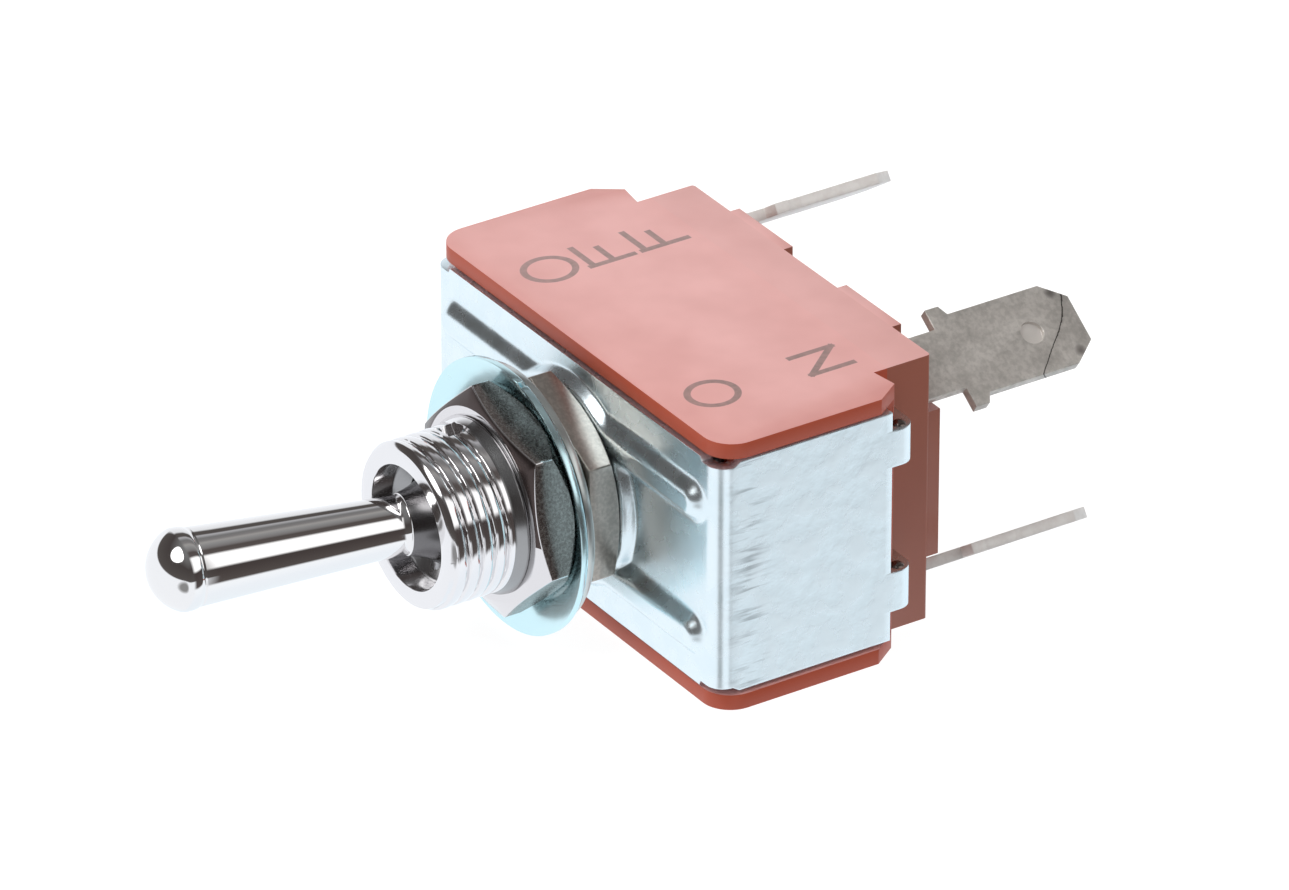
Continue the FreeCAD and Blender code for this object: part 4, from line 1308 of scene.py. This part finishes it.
@dataclass(frozen=True)
class Bushing:
    """The bushing with its thread and keyway.

    Attributes:
        radius: Outer radius of the thread.
        groove: Depth of the thread's narrow root, and start and end of its flank from the middle.
        hollow: The same for the wide hollow round it.
        threaded: How far in and out from the thread's radius the profile is cut.
        pitch: Pitch of the thread.
        front: Front face.
        thread_end: Where the free thread runs out.
        run: Lengths over which it starts and runs out.
        foot: Where the thread ends at the frame.
        key_angle: Keyway's place round the axis, in degrees.
        key_half: Half its width.
        key_floor: Its radius.
        key_front: Its front end.
        bore: Profile of the bore, from the frame to the mouth.
        mouth: Profile of the mouth ring.
        collar: Profile of the plain collar under the nut.
        seat: Profile of the foot in the frame.
        free: How far behind the front face the free thread starts, its rows and its end.
        rear: Start of the thread behind the collar, and its rows.
        bore_within: Faces nearer to the axis than this are the bore's.
        bore_from: The bore starts this far behind the front face.
        collar_shade: Radius, start and end along Y and start along X of the collar's side that gets painted shade.
        count: Points round the axis.
    """

    radius: float = 6.0
    groove: Triple = (0.22, 0.02, 0.17)
    hollow: Triple = (0.05, 0.10, 0.42)
    threaded: Pair = (0.35, 0.01)
    pitch: float = 1.06
    front: float = -13.5
    thread_end: float = -8.7
    run: Pair = (0.5, 0.3)
    foot: float = -0.9
    key_angle: float = 100.0
    key_half: float = 0.9
    key_floor: float = 5.2
    key_front: float = -9.9
    bore: tuple[Pair, ...] = ((4.4, 1.0), (3.45, -8.8), (3.45, -11.0), (4.30, -11.62), (4.45, -11.8))
    mouth: tuple[Pair, ...] = ((4.45, 0.12), (4.49, 0.03), (4.57, 0.0), (5.62, 0.0), (5.70, 0.03), (5.97, 0.36))
    collar: tuple[Pair, ...] = ((6.05, -8.3), (6.3, -7.75), (6.33, -7.6), (6.3, -7.54), (6.02, -7.53))
    seat: tuple[Pair, ...] = ((6.0, 0.2), (6.6, 0.2), (6.6, 1.0), (4.4, 1.0))
    free: tuple[float, int, float] = (0.42, 92, -8.5)
    rear: tuple[float, int] = (-7.5, 30)
    bore_within: float = 4.44
    bore_from: float = 0.06
    collar_shade: tuple[float, float, float, float] = (5.8, -8.52, -7.5, -0.5)
    count: int = 240

    def bend(self, radius: float, along: float, angle: float) -> float:
        """Cuts the thread and the keyway.

        Args:
            radius: Radius of the plain cylinder.
            along: y.
            angle: Place round the axis.

        Returns:
            The real radius.
        """
        below, above = self.threaded
        if radius < self.radius - below or radius > self.radius + above or along > self.foot:
            return radius
        phase = (along / self.pitch + angle / math.tau) % 1.0
        off = abs(phase - 0.5) * self.pitch
        deep = sum(depth * (1 - ease(off, start, end)) for depth, start, end in (self.groove, self.hollow))
        starts = ease(along, self.front, self.front + self.run[0])
        deep *= starts * (1 - ease(along, self.thread_end, self.thread_end + self.run[1]))
        real = radius - deep
        turn = angle - math.radians(self.key_angle)
        turn = math.atan2(math.sin(turn), math.cos(turn))
        if along > self.key_front and abs(turn) * self.radius < self.key_half:
            real = min(real, self.key_floor)
        return real

    def dull(self, face: bpy.types.MeshPolygon) -> bool:
        """Says whether a face gets the darker chrome: in the bore, or on the collar's side where shade is painted.

        Args:
            face: The face.

        Returns:
            True if it gets the darker chrome: painted shade, and a rougher finish in the bore.
        """
        middle = face.center / MM
        away = math.hypot(middle.x, middle.z)
        inside = away < self.bore_within and middle.y > self.front + self.bore_from
        out, start, stop, side = self.collar_shade
        return inside or (away > out and start < middle.y < stop and middle.x > side)

    def build(self, shop: Workshop) -> None:
        """Makes the bushing.

        Args:
            shop: The Workshop.
        """
        profile = list(self.bore)
        profile += [(radius, self.front + back) for radius, back in self.mouth]
        start, count, end = self.free
        profile += [(self.radius, y) for y in steps(self.front + start, count, end)]
        profile += self.collar
        profile += [(self.radius, y) for y in steps(*self.rear, self.foot)]
        profile += self.seat
        thing = shop.shaper.lathe("bushing_threaded", profile, self.count, self.bend)
        shop.shaper.outward(thing)
        shop.shaper.bake(thing, sharp=42)
        # Faces in the bore and on one side of the collar get the darker chrome: painted shade.
        for face in thing.data.polygons:
            face.material_index = 1 if self.dull(face) else 0
        shop.place(thing, "bushing")


@dataclass(frozen=True)
class HexNut:
    """The front nut, its corners cut back on both sides.

    Attributes:
        flats: Size across the flats.
        bore: Radius of the hole.
        bore_cut: Size of the cut round its front end.
        front: Front face.
        thick: Thickness.
        turn: Place of a corner round the axis, in degrees.
        face: Radius of the flat front face.
        face_slope: Slope of the front's cut.
        rear: Radius of the flat rear face.
        rear_slope: Slope of the rear's cut.
        rounding: Width of the rounding of its edges.
        upright: A face whose normal has less than this along Y is a side's.
        corner: It is a rounded corner's if it turns further than this from the side, in degrees; these faces get a
            painted highlight.
        cut: A face whose normal is between these along Y is the front's cut; its upper half gets painted shade, its
            lower half a painted highlight.
        count: Points round the axis.
        SIDE: Degrees round a side of the hexagon.
    """

    SIDE = 60.0
    flats: float = 14.5
    bore: float = 6.04
    bore_cut: float = 0.2
    front: float = -7.52
    thick: float = 3.1
    turn: float = 43.6
    face: float = 6.95
    face_slope: float = 0.44
    rear: float = 7.15
    rear_slope: float = 0.94
    rounding: float = 0.07
    upright: float = 0.08
    corner: float = 8.0
    cut: Pair = (-0.97, -0.88)
    count: int = 180

    def edge(self, angle: float) -> float:
        """Gives the hexagon's radius.

        Args:
            angle: Place round the axis.

        Returns:
            The radius there.
        """
        turn = (math.degrees(angle) - self.turn) % self.SIDE - self.SIDE / 2
        return self.flats / 2 / math.cos(math.radians(turn))

    def row(self, radius: float, along: float, start: float = 0.0, slope: float = 0.0) -> list[Triple]:
        """Makes a ring of points.

        Args:
            radius: Its radius, or 0 for the hexagon's outline.
            along: y.
            start: Radius where the cut starts.
            slope: How far the outline moves along Y outside it.

        Returns:
            The points.
        """
        points = []
        for k in range(self.count):
            angle = math.radians(self.turn + 360 / self.count * k)
            wide = radius or self.edge(angle)
            place = along + (wide - start) * slope
            points.append((wide * math.cos(angle), place, wide * math.sin(angle)))
        return points

    def finish(self, face: bpy.types.MeshPolygon) -> int:
        """Chooses a face's finish: dark sides; a bright front with painted highlights on its rounded rims, its
        corners and the lower half of its cut; painted shade on the upper half of the cut.

        Args:
            face: The face.

        Returns:
            Number of the finish in the nut's look.
        """
        along, around = face.normal.y, math.degrees(math.atan2(face.normal.z, face.normal.x))
        off = abs((around - self.turn) % self.SIDE - self.SIDE / 2)
        corner = abs(along) < self.upright and off > self.corner
        shaded_cut = self.cut[0] < along < self.cut[1] and face.center.z > 0
        return 2 if shaded_cut else 1 if along < -self.upright or corner else 0

    def build(self, shop: Workshop) -> None:
        """Makes the nut.

        Args:
            shop: The Workshop.
        """
        rear = self.front + self.thick
        rows = [
            self.row(self.bore, rear), self.row(self.bore, self.front + self.bore_cut),
            self.row(self.bore + self.bore_cut, self.front), self.row(self.face, self.front),
            self.row(0.0, self.front, self.face, self.face_slope), self.row(0.0, rear, self.rear, -self.rear_slope),
            self.row(self.rear, rear), self.row(self.bore, rear)]
        thing = shop.shaper.grid("hex_nut_front_cut", rows, ring=True)
        shop.shaper.outward(thing, weld=True)
        shop.shaper.round_off(thing, self.rounding, angle=20)
        shop.shaper.bake(thing, sharp=22)
        for face in thing.data.polygons:
            face.material_index = self.finish(face)
        shop.place(thing, "hex_nut_front")


@dataclass(frozen=True)
class Lever:
    """The bat lever with its ball and tail. Its own axis runs forward from the pivot, along -Y.

    Attributes:
        pivot: The pivot's place along Y.
        lean: Its lean at rest, in degrees.
        ball: Radius of the ball.
        ball_end: Where the ball goes over into the neck, in degrees from the tail.
        tail: Profile of the tail.
        neck: Profile of the hollow neck and the seam in front of it.
        root: Radius at the root of the shaft.
        root_at: The root's distance from the pivot.
        taper: How much wider the shaft gets.
        shaft: Length of the shaft.
        seam: Profile of the seam behind the bulb.
        bulb: Radius of the bulb.
        dome: Height of its rounded end.
        tip: The tip's distance from the pivot.
        shade_from: From here back to the tail the chrome is darker and rougher: painted shade inside the bushing, and
            a less polished finish.
        parts: Rows of faces on the ball, the shaft and the dome.
        count: Points round the axis.
    """

    pivot: float = -10.4
    lean: float = -10.5
    ball: float = 3.4
    ball_end: float = 98.0
    tail: tuple[Pair, ...] = ((0.0, 16.3), (1.6, 16.3), (1.9, 16.0))
    neck: tuple[Pair, ...] = (
        (3.22, -0.75), (2.98, -1.1), (2.74, -1.5), (2.52, -1.95), (2.36, -2.4), (2.25, -2.75), (2.19, -3.0),
        (2.17, -3.06), (2.12, -3.08), (2.08, -3.14), (2.07, -3.7))
    root: float = 2.07
    root_at: float = 3.7
    taper: float = 0.68
    shaft: float = 14.4
    seam: tuple[Pair, ...] = ((2.745, -18.16), (2.70, -18.22), (2.70, -18.30), (2.76, -18.38), (2.86, -18.55),
                              (2.9, -18.9), (2.9, -19.35))
    bulb: float = 2.9
    dome: float = 2.0
    tip: float = 21.4
    shade_from: float = -3.07
    parts: tuple[int, int, int] = (24, 12, 24)
    count: int = 96

    def profile(self) -> list[Pair]:
        """Draws the lever's outline from the tail to the tip.

        Returns:
            Pairs of radius and y.
        """
        start, stop = math.asin(self.tail[-1][0] / self.ball), math.radians(self.ball_end)
        on_ball, on_shaft, on_dome = self.parts
        profile = list(self.tail)
        for turn in steps(start, on_ball, stop):
            profile.append((self.ball * math.sin(turn), self.ball * math.cos(turn)))
        profile += self.neck
        for part in steps(0.0, on_shaft, 1.0)[1:]:
            profile.append((self.root + self.taper * part, -self.root_at - self.shaft * part))
        profile += self.seam
        around = (self.bulb ** 2 + self.dome ** 2) / (2 * self.dome)
        for part in steps(1.0, on_dome, 0.0)[1:]:
            turn = math.asin(self.bulb / around) * part
            profile.append((max(around * math.sin(turn), 0.0), -(self.tip - around) - around * math.cos(turn)))
        return profile

    def build(self, shop: Workshop) -> None:
        """Makes the lever.

        Args:
            shop: The Workshop.
        """
        thing = shop.shaper.lathe("lever_turned", self.profile(), self.count)
        shop.shaper.outward(thing, weld=True)
        shop.shaper.bake(thing)
        # Faces from the neck back get the dark chrome: painted shade, and a less polished finish.
        for face in thing.data.polygons:
            face.material_index = 1 if face.center.y > self.shade_from * MM else 0
        turn = Matrix.Rotation(math.radians(self.lean), 4, "Z")
        thing.data.transform(Matrix.Translation((0, self.pivot * MM, 0)) @ turn)
        shop.place(thing, "toggle_lever", Body.LEVER)


@dataclass(frozen=True)
class Studio:
    """Camera, light and floor.

    Attributes:
        eye: The camera's place.
        right: Its axis to the right.
        up: Its axis upwards.
        back: Its axis backwards.
        lens: Focal length.
        sensor: Width of the sensor.
        clip: Nearest and furthest distance that it shows, in metres.
        lamp: Where the small lamp in front stands, as a direction.
        lamp_edge: Where it starts and where it is full, as cosines.
        lamp_colour: Its colour.
        shade: Where the soft dark spot is, as a direction.
        shade_edge: Where it starts and where it is full, as cosines.
        shade_colour: Its colour.
        strips: Colour round the bushing's axis, in degrees from +X towards +Z.
        front: Colour of the room in front, by height.
        front_tilt: How much that height rises along X.
        front_share: Slope over y, and middle, of the front's share.
        front_ramp: Pairs of that value and the share.
        floor_z: Height of the floor.
        floor_size: Its size in metres.
        floor_colour: Its colour.
        floor_glow: Strength of the floor's own light, where 1 is white.
        overhead: Place of the broad lamp, in metres.
        wide: Its diameter in metres.
        power: Its power in watts.
    """

    eye: Triple = (569.2396708, -365.4895722, 380.7306295)
    right: Triple = (0.54602071, 0.83777147, 0.00059312)
    up: Triple = (-0.40928610, 0.26613589, 0.87272938)
    back: Triple = (0.73098993, -0.47677107, 0.48820392)
    lens: float = 318.1466
    sensor: float = 36.0
    clip: Pair = (0.05, 10.0)
    lamp: Triple = (0.05, -0.59, 0.81)
    lamp_edge: Pair = (0.935, 0.96)
    lamp_colour: Triple = (4.0, 4.0, 4.0)
    shade: Triple = (0.63, -0.67, -0.39)
    shade_edge: Pair = (0.950, 0.985)
    shade_colour: Triple = (0.30, 0.30, 0.30)
    strips: tuple[tuple[float, Triple], ...] = (
        (-180, (1.05, 1.08, 1.12)), (-120, (0.98, 1.06, 1.12)), (-60, (1.02, 1.08, 1.14)),
        (-33, (1.10, 1.14, 1.18)), (-27, (0.10, 0.085, 0.080)), (12, (0.065, 0.052, 0.050)),
        (18, (1.3, 1.3, 1.3)), (51, (1.3, 1.3, 1.3)), (57, (0.11, 0.095, 0.09)), (68, (0.10, 0.085, 0.08)),
        (74, (0.22, 0.21, 0.21)), (84, (0.30, 0.30, 0.30)), (92, (0.38, 0.37, 0.36)), (99, (0.24, 0.23, 0.23)),
        (108, (0.20, 0.20, 0.20)), (114, (0.34, 0.34, 0.35)), (119, (0.50, 0.50, 0.52)),
        (124, (0.10, 0.09, 0.085)), (138, (0.10, 0.09, 0.085)), (146, (0.9, 0.92, 0.95)),
        (180, (1.05, 1.08, 1.12)))
    front: tuple[tuple[float, Triple], ...] = (
        (0.514, (1.05, 1.08, 1.12)), (0.535, (0.10, 0.09, 0.085)), (0.8, (0.07, 0.06, 0.058)), (1.0, (0.2, 0.2, 0.2)))
    front_tilt: float = 0.10
    front_share: Pair = (-2.5, 0.75)
    front_ramp: tuple[Pair, ...] = ((0.3, 0.0), (0.7, 1.0))
    floor_z: float = -10.5
    floor_size: float = 3.0
    floor_colour: Triple = (0.2, 0.2, 0.2)
    floor_glow: float = 0.94
    overhead: Triple = (-0.12, -0.02, 0.6)
    wide: float = 0.5
    power: float = 1.75

    def build(self) -> None:
        """Sets up everything round the part."""
        self._camera()
        self._world()
        self._floor()
        self._overhead()
        bpy.context.scene.view_settings.view_transform = "Standard"
        log.info("camera, room, floor and lamp")

    def _camera(self) -> None:
        """Places the camera that was fitted to the photo."""
        data = bpy.data.cameras.new("camera")
        data.sensor_width = self.sensor
        data.lens = self.lens
        data.clip_start, data.clip_end = self.clip
        camera = bpy.data.objects.new("camera", data)
        bpy.context.scene.collection.objects.link(camera)
        turn = Matrix((self.right, self.up, self.back)).transposed().to_4x4()
        camera.matrix_world = Matrix.Translation(Vector(self.eye) * MM) @ turn
        bpy.context.scene.camera = camera

    def _facing(self, nodes: Nodes, way: Socket, aim: Triple, edge: Pair) -> Socket:
        """Masks a round spot in the room.

        Args:
            nodes: The world's Nodes.
            way: The direction of the light.
            aim: Direction of the spot's middle.
            edge: Where it starts and where it is full, as cosines.

        Returns:
            The mask's socket.
        """
        dot = nodes.add("VectorMath", operation="DOT_PRODUCT")
        nodes.join(way, dot.inputs[0])
        dot.inputs[1].default_value = aim
        return nodes.ramp(dot.outputs["Value"], [(edge[0], 0.0), (edge[1], 1.0)])

    def _room(self, nodes: Nodes) -> Socket:
        """Colours the room: strips round the bushing's axis, and in front dark above and pale below.

        Args:
            nodes: The world's Nodes.

        Returns:
            The colour's socket.
        """
        way = nodes.add("TexCoord").outputs["Generated"]
        parts = nodes.add("SeparateXYZ")
        nodes.join(way, parts.inputs[0])
        x, y, z = (parts.outputs[axis] for axis in "XYZ")
        turn = nodes.math("MULTIPLY_ADD", nodes.math("ARCTAN2", z, x), 1 / math.tau, 0.5)
        strips = nodes.ramp(turn, [((degrees + 180) / 360, colour) for degrees, colour in self.strips])
        height = nodes.math("MULTIPLY_ADD", z, 0.5, nodes.math("MULTIPLY_ADD", x, self.front_tilt, 0.5))
        low = nodes.ramp(height, self.front)
        spot = self._facing(nodes, way, self.shade, self.shade_edge)
        lamp = self._facing(nodes, way, self.lamp, self.lamp_edge)
        front = nodes.mix(lamp, nodes.mix(spot, low, self.shade_colour), self.lamp_colour)
        ahead = nodes.math("MULTIPLY_ADD", y, *self.front_share, clamp=True)
        return nodes.mix(nodes.ramp(ahead, self.front_ramp), strips, front)

    def _world(self) -> None:
        """Lights the part with the room, and shows the camera plain white."""
        world = bpy.data.worlds.new("studio")
        bpy.context.scene.world = world
        world.use_nodes = True
        nodes = Nodes(world.node_tree)
        room = world.node_tree.nodes["Background"]
        nodes.join(self._room(nodes), room.inputs["Color"])
        room.inputs["Strength"].default_value = 1.0
        white = nodes.add("Background")
        white.inputs["Color"].default_value = (1, 1, 1, 1)
        chosen = nodes.add("MixShader")
        nodes.join(nodes.add("LightPath").outputs["Is Camera Ray"], chosen.inputs[0])
        nodes.join(room.outputs[0], chosen.inputs[1])
        nodes.join(white.outputs[0], chosen.inputs[2])
        nodes.join(chosen.outputs[0], world.node_tree.nodes["World Output"].inputs["Surface"])

    def _floor(self) -> None:
        """Lays a pale floor under the case. Only the camera sees it."""
        bpy.ops.mesh.primitive_plane_add(size=self.floor_size, location=(0, 0, self.floor_z * MM))
        floor = bpy.context.active_object
        floor.name = "floor"
        material = bpy.data.materials.new("floor")
        material.use_nodes = True
        nodes = Nodes(material.node_tree)
        shader = material.node_tree.nodes["Principled BSDF"]
        shader.inputs["Base Color"].default_value = (*self.floor_colour, 1)
        shader.inputs["Roughness"].default_value = 1
        shader.inputs["Specular IOR Level"].default_value = 0
        shader.inputs["Emission Color"].default_value = (1, 1, 1, 1)
        shader.inputs["Emission Strength"].default_value = self.floor_glow
        # From below the floor isn't there, so that the part's underside shows.
        clear = nodes.add("MixShader")
        nodes.join(nodes.add("NewGeometry").outputs["Backfacing"], clear.inputs[0])
        nodes.join(shader.outputs[0], clear.inputs[1])
        nodes.join(nodes.add("BsdfTransparent").outputs[0], clear.inputs[2])
        nodes.join(clear.outputs[0], material.node_tree.nodes["Material Output"].inputs["Surface"])
        floor.data.materials.append(material)
        floor.visible_glossy = False
        floor.visible_diffuse = False
        floor.visible_shadow = False

    def _overhead(self) -> None:
        """Hangs a broad soft lamp over the part. Mirrors don't show it."""
        data = bpy.data.lights.new("overhead", "AREA")
        data.shape = "DISK"
        data.size = self.wide
        data.energy = self.power
        lamp = bpy.data.objects.new("overhead", data)
        bpy.context.scene.collection.objects.link(lamp)
        lamp.location = self.overhead
        lamp.rotation_euler = (-lamp.location).to_track_quat("-Z", "Y").to_euler()
        lamp.visible_glossy = False
        lamp.visible_camera = False


def main() -> None:
    """Builds the scene."""
    logging.basicConfig(level=logging.INFO)
    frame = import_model()
    shop = Workshop(frame)
    for part in (Mechanism(), RoundedPieces(), FrameSheet(), Springs(), PunchMarks(), Bushing(), HexNut(), Lever()):
        part.build(shop)
    Studio().build()


if __name__ == "__main__":
    main()
